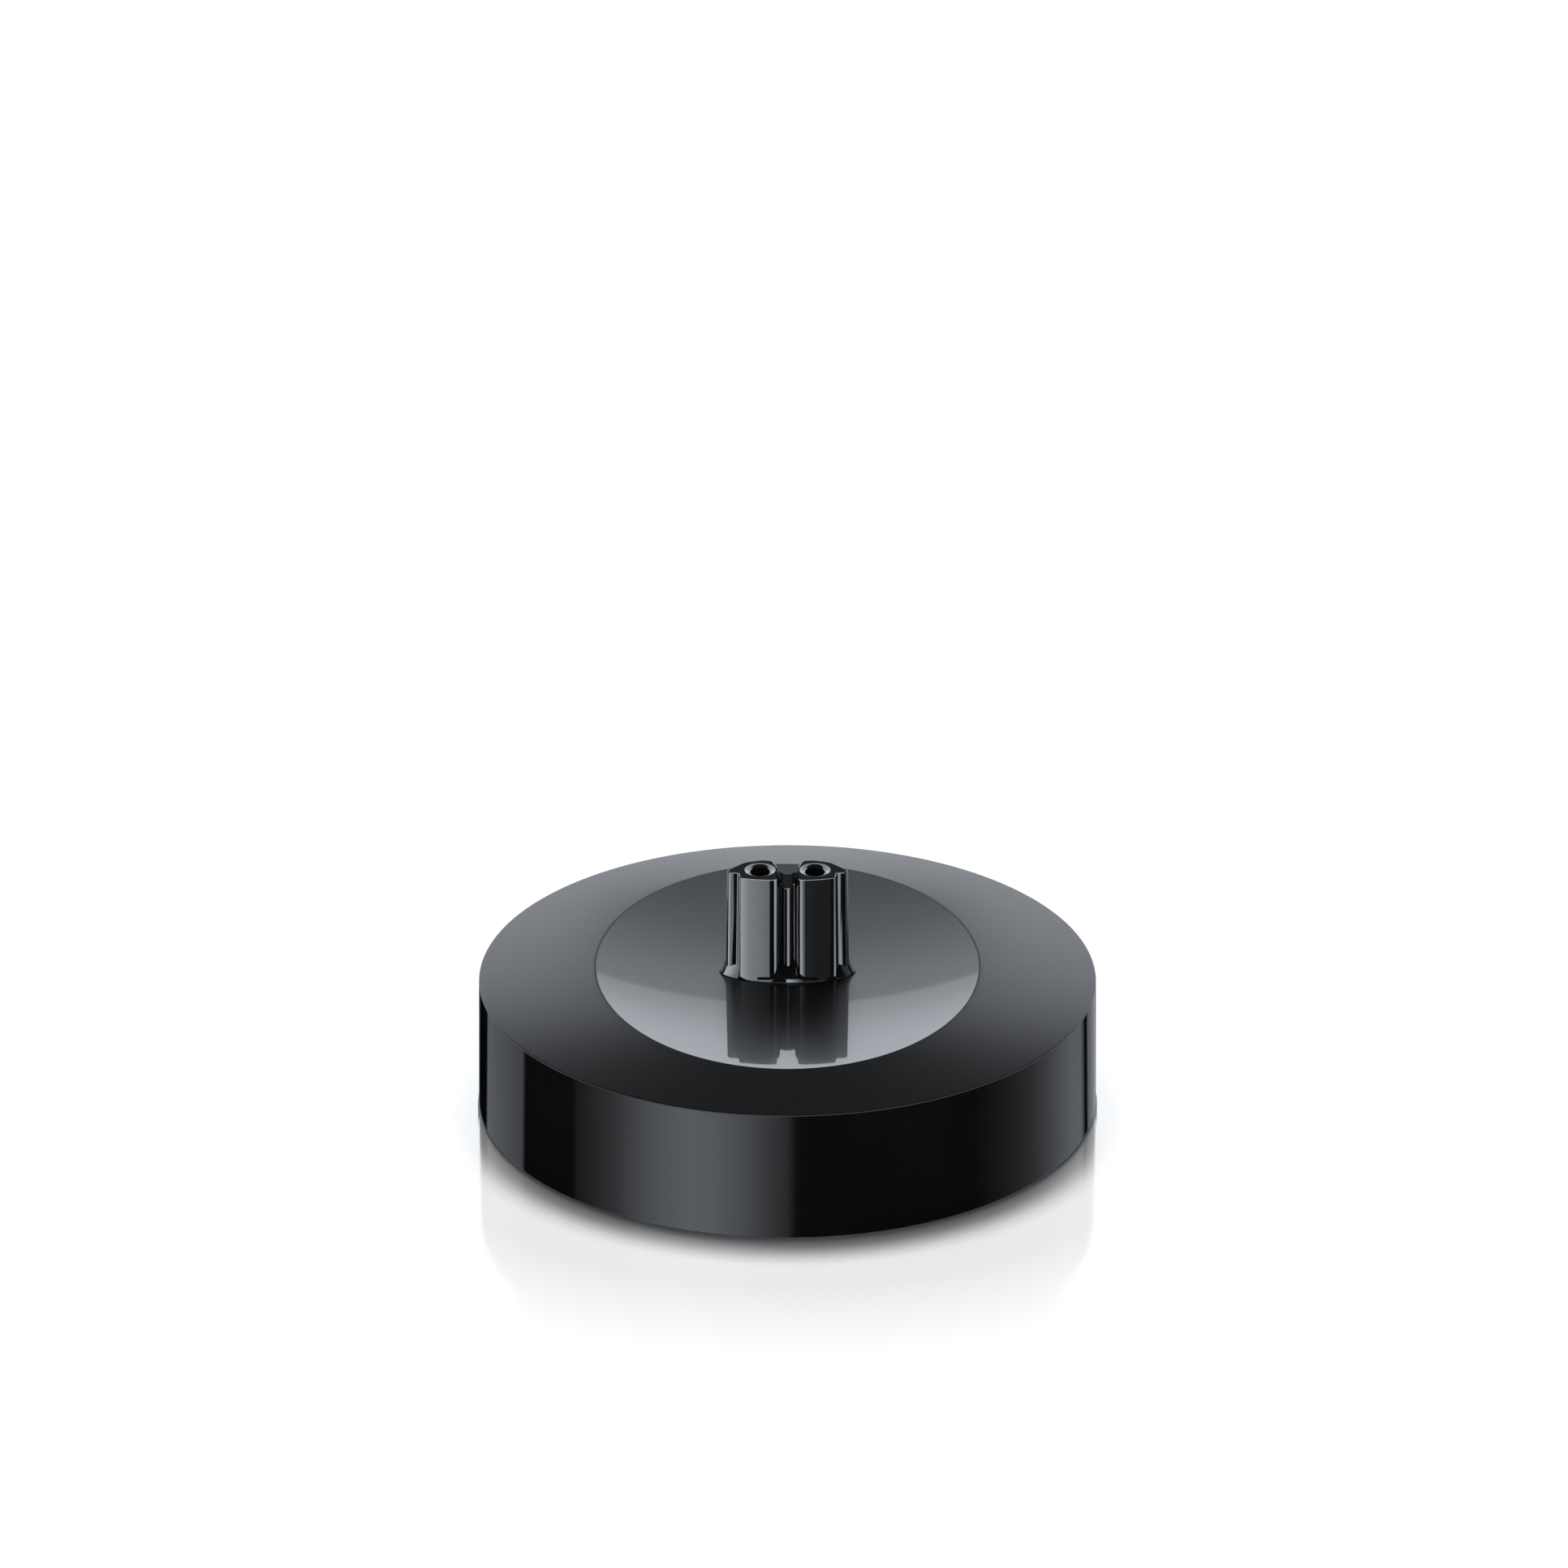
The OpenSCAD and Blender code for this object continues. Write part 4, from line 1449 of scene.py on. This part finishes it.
@dataclass
class BaseCover:
    """The plate that closes the stand from below, with its screw wells, foot recesses and posts.

    Attributes:
        levels: Shared heights and radii.
        foot_r: Distance of the feet from the middle.
        foot_turns: Directions of the feet in degrees, by the foot's name.
        post_r: Distance of the ballast's posts from the middle.
        post_turns: Directions of the ballast's posts.
        label: Width and length of the bare recess in the middle.
    """

    levels: Levels
    foot_r: float = 29.5
    foot_turns: dict[str, float] = field(default_factory=lambda: {
        "front_left_foot": 234.0,
        "front_right_foot": 306.0,
        "rear_left_foot": 126.0,
        "rear_right_foot": 54.0,
    })
    post_r: float = 21.5
    post_turns: tuple[float, ...] = (210.0, 330.0, 35.0, 145.0)
    label: tuple[float, float] = (30.0, 16.0)

    def build(self) -> Workpiece:
        """Models the plate with its pads and posts, and cuts its wells and recesses.

        Returns:
            The plate.
        """
        low, high = node_box("base_plate")
        floor, edge = node_box("base_seal")[0].z, high.x
        profile = [(edge - 0.2, low.z), (edge - 0.06, low.z + 0.06), (edge, low.z + 0.2),
                   (edge, floor - 0.1), (edge - 0.1, floor)]
        cover = Workpiece.lofted("base_cover", turned(profile), count=240)
        profile = [(3.4, floor - 0.5), (3.4, floor + 1.4), (3.3, floor + 1.5)]
        pad = Workpiece.lofted("pad", turned(profile), count=64)
        pad.moved((self.levels.screw_r, 0.0, 0.0)).spread(self.levels.screw_turns)
        cover.combine(pad, "UNION")
        head_z = node_box("ballast_plate")[1].z
        profile = [(1.5, floor - 0.5), (1.5, head_z), (2.3, head_z), (2.4, head_z + 0.1),
                   (2.05, high.z - 0.1), (1.8, high.z)]
        post = Workpiece.lofted("post", turned(profile), count=48)
        post.moved((self.post_r, 0.0, 0.0)).spread(self.post_turns)
        cover.combine(post, "UNION")
        for tool in self._cuts(low.z):
            cover.combine(tool)
        return cover

    def _cuts(self, bottom: float) -> list[Workpiece]:
        """Makes what cuts the screw wells, the foot recesses and the bare recess.

        Args:
            bottom: Height of the plate's underside.

        Returns:
            The cutting tools.
        """
        well = [(2.95, bottom - 0.5), (2.3, bottom + 0.15), (2.3, 2.7), (1.2, 2.7), (1.2, 6.0)]
        recess = [(4.7, bottom - 0.5), (4.05, bottom + 0.15), (4.05, 1.8)]
        wide, long = (size / 2 for size in self.label)
        corners = [(wide, -long, 0.8), (wide, long, 0.8), (-wide, long, 0.8), (-wide, -long, 0.8)]
        return [
            Workpiece.lofted("well", turned(well), count=64).moved((self.levels.screw_r, 0.0, 0.0))
            .spread(self.levels.screw_turns),
            Workpiece.lofted("recess", turned(recess), count=96).moved((self.foot_r, 0.0, 0.0))
            .spread(tuple(self.foot_turns.values())),
            Workpiece.outlined("label", corners, bottom - 1.0, 1.3),
        ]

    def make(self) -> None:
        """Builds, dresses and places the plate and its four feet."""
        piece = self.build().settle()
        moulding = GrainedBlack("base_moulding", level=0.014, roughness=0.5, grain=0.3, relief=0.008)
        dress(piece, moulding.make())
        show_as(piece, "base_black", "base_plate")
        low, high = node_box("front_left_foot")
        radius = (high.x - low.x) / 2
        profile = [(radius - 1.7, low.z + 0.14), (radius - 1.45, low.z + 0.02), (radius - 1.3, low.z)]
        profile += arc((radius - 0.4, low.z + 0.4), 0.4, -90.0, 0.0, 6)
        profile += [(radius, high.z - 0.1), (radius - 0.1, high.z)]
        foot = Workpiece.lofted("foot", turned(profile), count=72).moved((self.foot_r, 0.0, 0.0))
        rubber = Rubber("foot_rubber").make()
        for node, turn in self.foot_turns.items():
            piece = foot.copied(f"{node}_pad", turn).settle()
            dress(piece, rubber)
            show_as(piece, "foot_rubber", node)
        bpy.data.objects.remove(foot.obj, do_unlink=True)


@dataclass
class ScrewSet:
    """Equal pan-head screws with a cross recess, standing head down.

    Attributes:
        name: Name of the piece.
        node: The model's node that it stands for.
        seat_z: Height of the heads' seat.
        shank_r: Radius over the thread.
        length: Length under the head.
        head_r: Radius of the head.
        head_h: Height of the head.
        turns: Directions of the screws round the stand's axis; none means left and right.
        place: Place of the first screw as (x, y).
    """

    name: str
    node: str
    seat_z: float
    shank_r: float
    length: float
    head_r: float
    head_h: float
    place: tuple[float, float]
    turns: tuple[float, ...] = ()

    def _thread(self) -> list[tuple[float, float]]:
        """Gives the thread's profile from the seat to the tip.

        Returns:
            Points as (radius, height).
        """
        pitch = 0.7
        root = self.shank_r * 0.78
        turns = int((self.length - 2.2 * self.shank_r) / pitch)
        points = [(root, self.seat_z)]
        for i in range(turns):
            z = self.seat_z + 0.5 + pitch * i
            points += [(root, z), (self.shank_r, z + 0.25), (root, z + 0.5)]
        end = self.seat_z + self.length
        return [*points, (root, end - self.shank_r), (self.shank_r * 0.4, end)]

    def make(self) -> None:
        """Builds one screw, sets its copies in place, and dresses them."""
        low = self.seat_z - self.head_h
        face_r = self.head_r * 0.85
        profile = [(face_r * 0.7, low), (face_r * 0.9, low + 0.04), (face_r, low + 0.16),
                   (self.head_r, self.seat_z - 0.1), (self.head_r - 0.06, self.seat_z),
                   *self._thread()]
        screw = Workpiece.lofted(self.name, turned(profile), count=48)
        reach = self.head_r * 0.6
        for wide, long in ((reach, 0.25), (0.25, reach)):
            slot = Workpiece.block("slot", (-wide, -long, low - 0.5),
                                   (wide, long, low + self.head_h / 2))
            screw.combine(slot)
        screw.moved((*self.place, 0.0)).spread(self.turns, mirrored=not self.turns)
        screw.obj.name = self.name
        piece = screw.settle()
        steel = Metal(f"{self.name}_steel", (0.6, 0.6, 0.61), (0.4, 0.39, 0.38), roughness=0.28)
        dress(piece, steel.make())
        show_as(piece, "screw_steel", self.node)


@dataclass(frozen=True)
class Insulation:
    """Smooth insulation of a lead, with a ring of tinned wire at both of its ends.

    Attributes:
        name: Name of the material.
        colour: Colour of the insulation.
        start: Place where the insulation starts, front to back, in millimetres.
        end: Place where it ends.
    """

    name: str
    colour: tuple[float, float, float]
    start: float
    end: float

    def make(self) -> bpy.types.Material:
        """Builds the material.

        Returns:
            The material.
        """
        recipe = new_recipe(self.name)
        _, y, _ = recipe.place()
        wire = 1 - (y > self.start * MM) * (1 - (y > self.end * MM))
        shade = recipe.noise(3.0, detail=3.0).rise(0.35, 0.7)
        dark = tuple(0.75 * c for c in self.colour)
        coat = recipe.blend(shade, (*self.colour, 1.0), (*dark, 1.0))
        inputs = {
            "Base Color": recipe.blend(wire, coat, (0.72, 0.7, 0.66, 1.0)),
            "Metallic": wire,
            "Roughness": 0.42 - wire * 0.1 + shade * 0.05,
            "Normal": recipe.bump(recipe.noise(0.4, detail=2.0), 0.01),
        }
        return recipe.principled(inputs)


@dataclass
class Inside:
    """Finishes of the pieces that keep the model's own shape, sealed inside the stand."""

    def make(self) -> None:
        """Dresses each node."""
        brass = Metal("contact_brass", (0.78, 0.56, 0.26), (0.5, 0.34, 0.16), roughness=0.2).make()
        seal = Rubber("seal_rubber", level=0.025, pebble=0.4).make()
        film = PaleMoulding("seat_adhesive", (0.78, 0.78, 0.72), (0.7, 0.69, 0.6), roughness=0.5)
        retainer = PaleMoulding("retainer_moulding", (0.83, 0.8, 0.7), (0.76, 0.72, 0.6))
        start = node_box("left_lead")[0].y + 2.5
        end = node_box("left_lead")[1].y - 1.0
        finishes = {
            "left_contact": brass,
            "right_contact": brass,
            "contact_retainer": retainer.make(),
            "seat_film": film.make(),
            "tower_gasket": seal,
            "inlet_gasket": seal,
            "base_seal": seal,
            "ballast_plate": Metal("ballast_steel", (0.5, 0.5, 0.51), (0.3, 0.28, 0.26),
                                   roughness=0.35, mark=0.9).make(),
            "left_lead": Insulation("lead_grey", (0.16, 0.16, 0.17), start, end).make(),
            "right_lead": Insulation("lead_red", (0.42, 0.03, 0.025), start, end).make(),
        }
        for node, finish in finishes.items():
            dress(bpy.data.objects[node], finish)
            LOG.info("%s: keeps the model's shape", node)


# Stage


@dataclass(frozen=True)
class Strip:
    """A stretch of light on a card.

    Attributes:
        start: Place of its first edge: a direction in degrees, 0 at the front and positive to the
            right, or a place from left to right in millimetres.
        end: Place of its last edge.
        levels: Radiance at evenly spaced places from the first edge to the last.
    """

    start: float
    end: float
    levels: tuple[float, ...]

    def lit(self, recipe: Recipe, where: Signal, share: Callable[[float], float],
            edge: float) -> Signal:
        """Gives the strip's light.

        Args:
            recipe: The card's recipe.
            where: Place on the card as a share from 0 to 1.
            share: Turns a place of the strip into such a share.
            edge: Width of the strip's soft edges.

        Returns:
            The radiance, 0 outside the strip.
        """
        peak = max(self.levels)
        step = (self.end - self.start) / (len(self.levels) - 1)
        stops = [(self.start - edge, 0.0)]
        stops += [(self.start + step * i, level / peak) for i, level in enumerate(self.levels)]
        stops.append((self.end + edge, 0.0))
        places = [(share(place), level) for place, level in stops]
        return recipe.add("ShaderNodeValToRGB", {"stops": places}, {"Fac": where}) * peak


# Strips of light on the wall's card, by direction in degrees: the painted reflection bands on the
# polished wall
WALL_STRIPS = (
    Strip(-86.0, -85.0, (0.6, 0.0)),
    Strip(-75.0, -57.4, (0.34, 0.44, 0.5)),
    Strip(-43.0, 1.2, (0.09, 0.26, 0.58, 1.27, 1.9, 2.37, 2.2, 1.62, 0.87, 0.3)),
    Strip(37.0, 72.0, (0.0, 0.115, 0.27, 0.53, 0.63, 0.42)),
    Strip(75.8, 86.0, (0.3, 0.5)),
    Strip(100.0, 128.0, (0.5, 0.6)),
    Strip(142.0, 178.0, (0.1, 0.9, 1.6, 0.8, 0.2)),
    Strip(-170.0, -120.0, (0.1, 0.6, 0.9, 0.4)),
)

# Strips of light on the plug's card, by place in millimetres: painted highlights and reflection bands
# on the plug
PLUG_STRIPS = (
    Strip(-9.4, -7.3, (9.0, 7.0, 3.6, 3.4)),
    Strip(-6.5, -2.3, (7.5, 4.7, 4.1, 3.6, 3.0)),
    Strip(-0.1, 2.3, (9.0, 7.0, 4.5, 2.0, 0.5)),
    Strip(2.5, 6.0, (0.3, 0.2, 0.2)),
    Strip(6.55, 7.1, (7.0, 5.5)),
    Strip(8.6, 9.4, (0.4, 0.8)),
)

# Radiance of the seat's cards by height: the painted reflection gradient on the seat
SEAT_LEVELS = (
    (76.0, 0.1), (83.5, 0.12), (94.3, 0.2), (104.9, 0.5), (116.1, 1.15), (122.4, 1.6), (131.8, 2.2),
    (132.0, 4.0), (136.0, 4.9), (141.9, 6.7), (148.7, 8.3), (159.2, 9.7), (190.0, 14.0),
)

# Polish of the floor by the distance from the stand's middle, in metres
FLOOR_POLISH = (
    (0.0, 0.7), (0.0385, 0.7), (0.04, 0.66), (0.0408, 0.62), (0.0417, 0.5), (0.0427, 0.38),
    (0.0436, 0.28), (0.0446, 0.22), (0.0455, 0.18), (0.051, 0.2), (0.06, 0.13), (0.075, 0.03),
    (0.085, 0.01),
)

# Radiance of the world by the height above the horizon, in degrees
WORLD_LEVELS = (
    (0.0, 1.1), (10.0, 1.15), (14.0, 1.35), (22.0, 1.45), (26.0, 1.3), (30.0, 1.05), (33.0, 0.85),
    (35.0, 0.62), (37.0, 0.36), (39.0, 0.12), (41.0, 0.02), (60.0, 0.02),
)


@dataclass(frozen=True)
class Card:
    """A glowing card, no lamp, that shows only in polished surfaces and paints reflections into them.

    Attributes:
        name: Name of the card.
        reach: Longest way from the surface to the card at which it still shows, in millimetres.
        shows_in: The only piece that it shows in; none means any piece.
    """

    name: str
    reach: float = 8.0
    shows_in: str | None = None

    def hang(self, card: bpy.types.Object, recipe: Recipe, light: Signal, towards: Point) -> None:
        """Finishes a card's mesh: lit on the side of the surface, and open from its back.

        Args:
            card: The card's object.
            recipe: The card's recipe.
            light: The card's radiance.
            towards: A point on the lit side, in metres.
        """
        middle = card.data.polygons[0].center
        if card.data.polygons[0].normal.dot(Vector(towards) - middle) < 0:
            pick(card)
            bpy.ops.object.mode_set(mode="EDIT")
            bpy.ops.mesh.select_all(action="SELECT")
            bpy.ops.mesh.flip_normals()
            bpy.ops.object.mode_set(mode="OBJECT")
        glow = recipe.add("ShaderNodeEmission", inputs={"Color": COOL, "Strength": light})
        clear = recipe.add("ShaderNodeBsdfTransparent")
        behind = recipe.add("ShaderNodeNewGeometry", output="Backfacing")
        far = recipe.add("ShaderNodeLightPath", output="Ray Length") > self.reach * MM
        hidden = behind.or_else(far)
        recipe.finish_surface(recipe.add("ShaderNodeMixShader", inputs={0: hidden, 1: glow, 2: clear}))
        recipe.owner.cycles.emission_sampling = "NONE"
        dress(card, recipe.owner)
        for name in ("camera", "diffuse", "transmission", "volume_scatter", "shadow"):
            setattr(card, f"visible_{name}", False)
        if self.shows_in:
            group = bpy.data.collections.new(f"{self.name}_shows_in")
            group.objects.link(bpy.data.objects[self.shows_in])
            card.light_linking.receiver_collection = group


@dataclass(frozen=True)
class WallCard(Card):
    """A round glowing card that hugs a wall and carries upright strips of light, which paint reflection
    bands onto the polished wall.

    Attributes:
        radius: Radius of the card, in millimetres.
        wall_r: Radius of the wall that it hugs.
        span: Lowest and highest level.
        strips: Strips of light by direction.
    """

    radius: float = 39.3
    wall_r: float = 39.07
    span: tuple[float, float] = (0.05, 17.2)
    strips: tuple[Strip, ...] = WALL_STRIPS

    def _share(self, angle: float) -> float:
        """Gives the share of a turn on the card whose reflection shows in a direction of the wall.

        Args:
            angle: The direction in degrees, 0 at the front.

        Returns:
            The share, 0.5 at the front.
        """
        turn = math.radians(min(abs(angle), 89.0))
        way = -self.wall_r * math.cos(turn)
        way += math.sqrt(self.radius ** 2 - (self.wall_r * math.sin(turn)) ** 2)
        shift = math.degrees(way * math.sin(turn) / self.radius)
        return (angle + math.copysign(shift if abs(angle) < 90 else 0.0, angle) + 180) / 360

    def make(self) -> None:
        """Models and lights the card."""
        clear_selection()
        bpy.ops.mesh.primitive_circle_add(vertices=180, radius=self.radius)
        card = Workpiece(self.name)
        bpy.ops.object.mode_set(mode="EDIT")
        bpy.ops.mesh.select_all(action="SELECT")
        bpy.ops.transform.translate(value=(0.0, 0.0, self.span[0]))
        lift = (0.0, 0.0, self.span[1] - self.span[0])
        bpy.ops.mesh.extrude_edges_move(TRANSFORM_OT_translate={"value": lift})
        bpy.ops.object.mode_set(mode="OBJECT")
        recipe = new_recipe(self.name)
        x, y, _ = recipe.place()
        where = x.angle_from(y * -1.0) * (0.5 / math.pi) + 0.5
        light = sum(strip.lit(recipe, where, self._share, 0.25) for strip in self.strips)
        self.hang(card.settle(), recipe, light, (0.0, 0.0, 0.01))


@dataclass(frozen=True)
class PlugCard(Card):
    """A bowed glowing card close before the plug, with upright strips of light that paint highlights
    and reflection bands onto the plug.

    Attributes:
        centre_y: Place of its ends, front to back, in millimetres.
        half: Half width and bow, in millimetres.
        span: Lowest and highest level.
        strips: Strips of light from left to right.
        scale_half: Half width of the scale that the strips are laid on.
    """

    centre_y: float = 0.0
    half: tuple[float, float] = (9.6, 4.7)
    span: tuple[float, float] = (19.25, 34.2)
    strips: tuple[Strip, ...] = PLUG_STRIPS
    scale_half: float = 10.0

    def _share(self, place: float) -> float:
        """Gives a place from left to right as a share of the light's scale."""
        return place / (2 * self.scale_half) + 0.5

    def make(self) -> None:
        """Models and lights the card."""
        clear_selection()
        bpy.ops.mesh.primitive_circle_add(vertices=120, radius=1.0)
        card = Workpiece(self.name)
        card.select_vertices(lambda v: v.co.y > 1e-4)
        bpy.ops.object.mode_set(mode="EDIT")
        bpy.ops.mesh.delete(type="VERT")
        bpy.ops.mesh.select_all(action="SELECT")
        bpy.ops.transform.resize(value=(*self.half, 1.0), center_override=(0.0, 0.0, 0.0))
        bpy.ops.transform.translate(value=(0.0, self.centre_y, self.span[0]))
        lift = (0.0, 0.0, self.span[1] - self.span[0])
        bpy.ops.mesh.extrude_edges_move(TRANSFORM_OT_translate={"value": lift})
        bpy.ops.object.mode_set(mode="OBJECT")
        recipe = new_recipe(self.name)
        x, _, _ = recipe.place()
        where = x * (0.5 / (self.scale_half * MM)) + 0.5
        light = sum(strip.lit(recipe, where, self._share, 0.08) for strip in self.strips)
        self.hang(card.settle(), recipe, light, (0.0, self.centre_y * MM, 0.01))


@dataclass(frozen=True)
class FlatCard(Card):
    """An upright flat glowing card some way behind the stand, brighter or darker by height, that paints
    reflections into the polish.

    Attributes:
        distance: Distance behind the stand's middle, in millimetres.
        width: Width of the card.
        span: Lowest and highest level.
        levels: Radiance by height, as (height, radiance).
        dome: Radius of the domed lines of equal light; none means level lines.
        faces: Lit side, -1 for the one towards the front and 1 for the other.
    """

    distance: float = 200.0
    width: float = 66.0
    span: tuple[float, float] = (0.0, 10.0)
    levels: tuple[tuple[float, float], ...] = ((0.0, 1.0), (10.0, 1.0))
    dome: float | None = None
    faces: int = -1

    def make(self) -> None:
        """Models and lights the card."""
        bottom, top = self.span
        clear_selection()
        bpy.ops.mesh.primitive_plane_add(size=1.0, rotation=(math.radians(90), 0.0, 0.0))
        card = Workpiece(self.name)
        bpy.ops.object.mode_set(mode="EDIT")
        bpy.ops.mesh.select_all(action="SELECT")
        bpy.ops.transform.resize(value=(self.width, 1.0, top - bottom), center_override=(0.0, 0.0, 0.0))
        bpy.ops.transform.translate(value=(0.0, self.distance, (top + bottom) / 2))
        bpy.ops.object.mode_set(mode="OBJECT")
        recipe = new_recipe(self.name)
        x, _, z = recipe.place()
        height = z if self.dome is None else z + x * x / (2 * self.dome * MM)
        peak = max(level for _, level in self.levels)
        low, high = self.levels[0][0], self.levels[-1][0]
        stops = [((place - low) / (high - low), level / peak) for place, level in self.levels]
        where = (height - low * MM) / ((high - low) * MM)
        light = recipe.add("ShaderNodeValToRGB", {"stops": stops}, {"Fac": where}) * peak
        self.hang(card.settle(), recipe, light, (0.0, (self.distance + self.faces) * MM, top * MM))


@dataclass(frozen=True)
class Studio:
    """Camera, floor, soft lights, and the glowing cards, no lamps, that only polished surfaces show and
    that paint reflections into them.

    Attributes:
        lens: Focal length of the camera, in millimetres.
        sensor: Width of its sensor, in millimetres.
        picture: Side of the square picture, in pixels.
        scale: Pixels per millimetre at the stand.
        elevation: Height of the camera above the horizon, in degrees.
        rim_place: Place of the rim's centre in the picture, in pixels.
        lamp_place: Place of the softbox, in metres.
        lamp_size: Side of the softbox, in metres.
        lamp_power: Power of the softbox, in watts.
    """

    lens: float = 300.0
    sensor: float = 36.0
    picture: float = 1932.0
    scale: float = 9.744
    elevation: float = 26.0
    rim_place: tuple[float, float] = (970.3, 1203.9)
    lamp_place: Point = (0.0, 0.23, 1.5)
    lamp_size: float = 0.6
    lamp_power: float = 18.5

    def place_camera(self, levels: Levels) -> None:
        """Aims the camera so that the rim's centre falls on its place in the picture.

        Args:
            levels: Shared heights of the stand.
        """
        rise = math.radians(self.elevation)
        back = Vector((0.0, -math.cos(rise), math.sin(rise)))
        up = Vector((0.0, math.sin(rise), math.cos(rise)))
        rim = Vector((0.0, 0.0, levels.rim * MM))
        distance = self.lens / self.sensor * self.picture / self.scale * MM
        across, down = (place - self.picture / 2 for place in self.rim_place)
        aim = rim + up * (down / self.scale * MM) - Vector((across / self.scale * MM, 0.0, 0.0))
        clear_selection()
        bpy.ops.object.camera_add(location=rim + back * distance)
        camera = bpy.context.active_object
        camera.name = "picture_camera"
        camera.data.lens = self.lens
        camera.data.sensor_width = self.sensor
        camera.data.clip_start = 0.05
        camera.data.clip_end = 50.0
        camera.rotation_euler = (aim - camera.location).to_track_quat("-Z", "Y").to_euler()
        bpy.context.scene.camera = camera

    def lay_floor(self) -> None:
        """Lays a wide pale floor, polished close round the stand and clear from below."""
        clear_selection()
        bpy.ops.mesh.primitive_circle_add(vertices=96, radius=6.0, fill_type="NGON")
        floor = bpy.context.active_object
        floor.name = "floor"
        recipe = new_recipe("floor_pale")
        x, y, _ = recipe.place()
        out = (x * x + y * y) ** 0.5
        wide = 0.1
        stops = [(place / wide, level) for place, level in FLOOR_POLISH]
        share = recipe.add("ShaderNodeValToRGB", {"stops": stops}, {"Fac": out / wide})
        matte = recipe.add("ShaderNodeBsdfDiffuse", inputs={"Color": (0.965, 0.955, 0.94, 1.0)})
        inputs = {"Color": (0.9, 0.87, 0.83, 1.0), "Roughness": 0.09}
        gloss = recipe.add("ShaderNodeBsdfGlossy", inputs=inputs)
        body = recipe.add("ShaderNodeMixShader", inputs={0: share, 1: matte, 2: gloss})
        clear = recipe.add("ShaderNodeBsdfTransparent")
        behind = recipe.add("ShaderNodeNewGeometry", output="Backfacing")
        long = recipe.add("ShaderNodeLightPath", output="Ray Length") > 0.006
        open_share = behind.or_else((1 - long) * (1 - (out > 0.036)))
        inputs = {0: open_share, 1: body, 2: clear}
        recipe.finish_surface(recipe.add("ShaderNodeMixShader", inputs=inputs))
        dress(floor, recipe.owner)

    def light_world(self) -> None:
        """Gives the world a band of soft light above the horizon that fades towards the top."""
        world = bpy.data.worlds.new("studio")
        bpy.context.scene.world = world
        recipe = Recipe(world)
        direction = recipe.add("ShaderNodeTexCoord", output="Generated")
        split = recipe.add("ShaderNodeSeparateXYZ", inputs={"Vector": direction})
        height = Signal(recipe, split.socket.node.outputs["Z"])
        peak = max(level for _, level in WORLD_LEVELS)
        stops = [(math.sin(math.radians(angle)), tuple(level / peak * c for c in COOL[:3]) + (1.0,))
                 for angle, level in WORLD_LEVELS]
        ramp = recipe.add("ShaderNodeValToRGB", {"stops": stops}, {"Fac": height})
        inputs = {"Color": ramp, "Strength": peak}
        recipe.finish_surface(recipe.add("ShaderNodeBackground", inputs=inputs))

    def hang_softbox(self) -> None:
        """Hangs a soft light overhead, a little behind the stand, which shows in no polish."""
        clear_selection()
        place = Vector(self.lamp_place)
        bpy.ops.object.light_add(type="AREA", location=place)
        lamp = bpy.context.active_object
        lamp.name = "softbox"
        lamp.rotation_euler = (-place).to_track_quat("-Z", "Y").to_euler()
        lamp.data.shape = "SQUARE"
        lamp.data.size = self.lamp_size
        lamp.data.energy = self.lamp_power
        lamp.visible_glossy = False

    def make(self, levels: Levels) -> None:
        """Sets up the whole stage."""
        scene = bpy.context.scene
        scene.view_settings.view_transform = "Standard"
        self.place_camera(levels)
        self.lay_floor()
        self.light_world()
        self.hang_softbox()
        # Glowing cards that paint reflections and highlights into the wall, plug and seat.
        WallCard("wall_card").make()
        PlugCard("plug_card", reach=6.0, shows_in="plug", centre_y=levels.plug_y).make()
        seat_cards = (("seat_card", 80.0, (76.0, 150.0)), ("seat_card_high", 240.0, (150.0, 400.0)))
        for name, width, span in seat_cards:
            FlatCard(name, reach=900.0, shows_in="seat_panel", width=width, span=span,
                     levels=SEAT_LEVELS, dome=30.0).make()
        FlatCard("edge_card", reach=24.0, distance=levels.plug_y - 10.0, width=24.0,
                 span=(36.0, 46.0), levels=((36.0, 15.0), (46.0, 15.0)), faces=1).make()
        FlatCard("funnel_card", reach=16.0, distance=levels.plug_y + 8.0, width=26.0,
                 span=(34.9, 42.0), levels=((34.9, 3.2), (42.0, 3.2))).make()


def main() -> None:
    """Builds the stand piece by piece and sets it on its stage."""
    logging.basicConfig(level=logging.INFO, format="%(name)s %(message)s")
    levels = Levels()
    Housing(levels).make()
    Seat(levels).make()
    PlugTower(levels).make()
    InletSocket(levels).make()
    Pins(levels).make()
    BaseCover(levels).make()
    ScrewSet("base_screw_set", "base_screws", seat_z=2.7, shank_r=1.1, length=8.2, head_r=2.2,
             head_h=1.5, place=(levels.screw_r, 0.0), turns=levels.screw_turns).make()
    ScrewSet("tower_screw_set", "tower_screws", seat_z=6.0, shank_r=0.9, length=7.6, head_r=1.8,
             head_h=1.2, place=(levels.tower_screw_x, levels.plug_y)).make()
    Inside().make()
    Studio().make(levels)


if __name__ == "__main__":
    main()
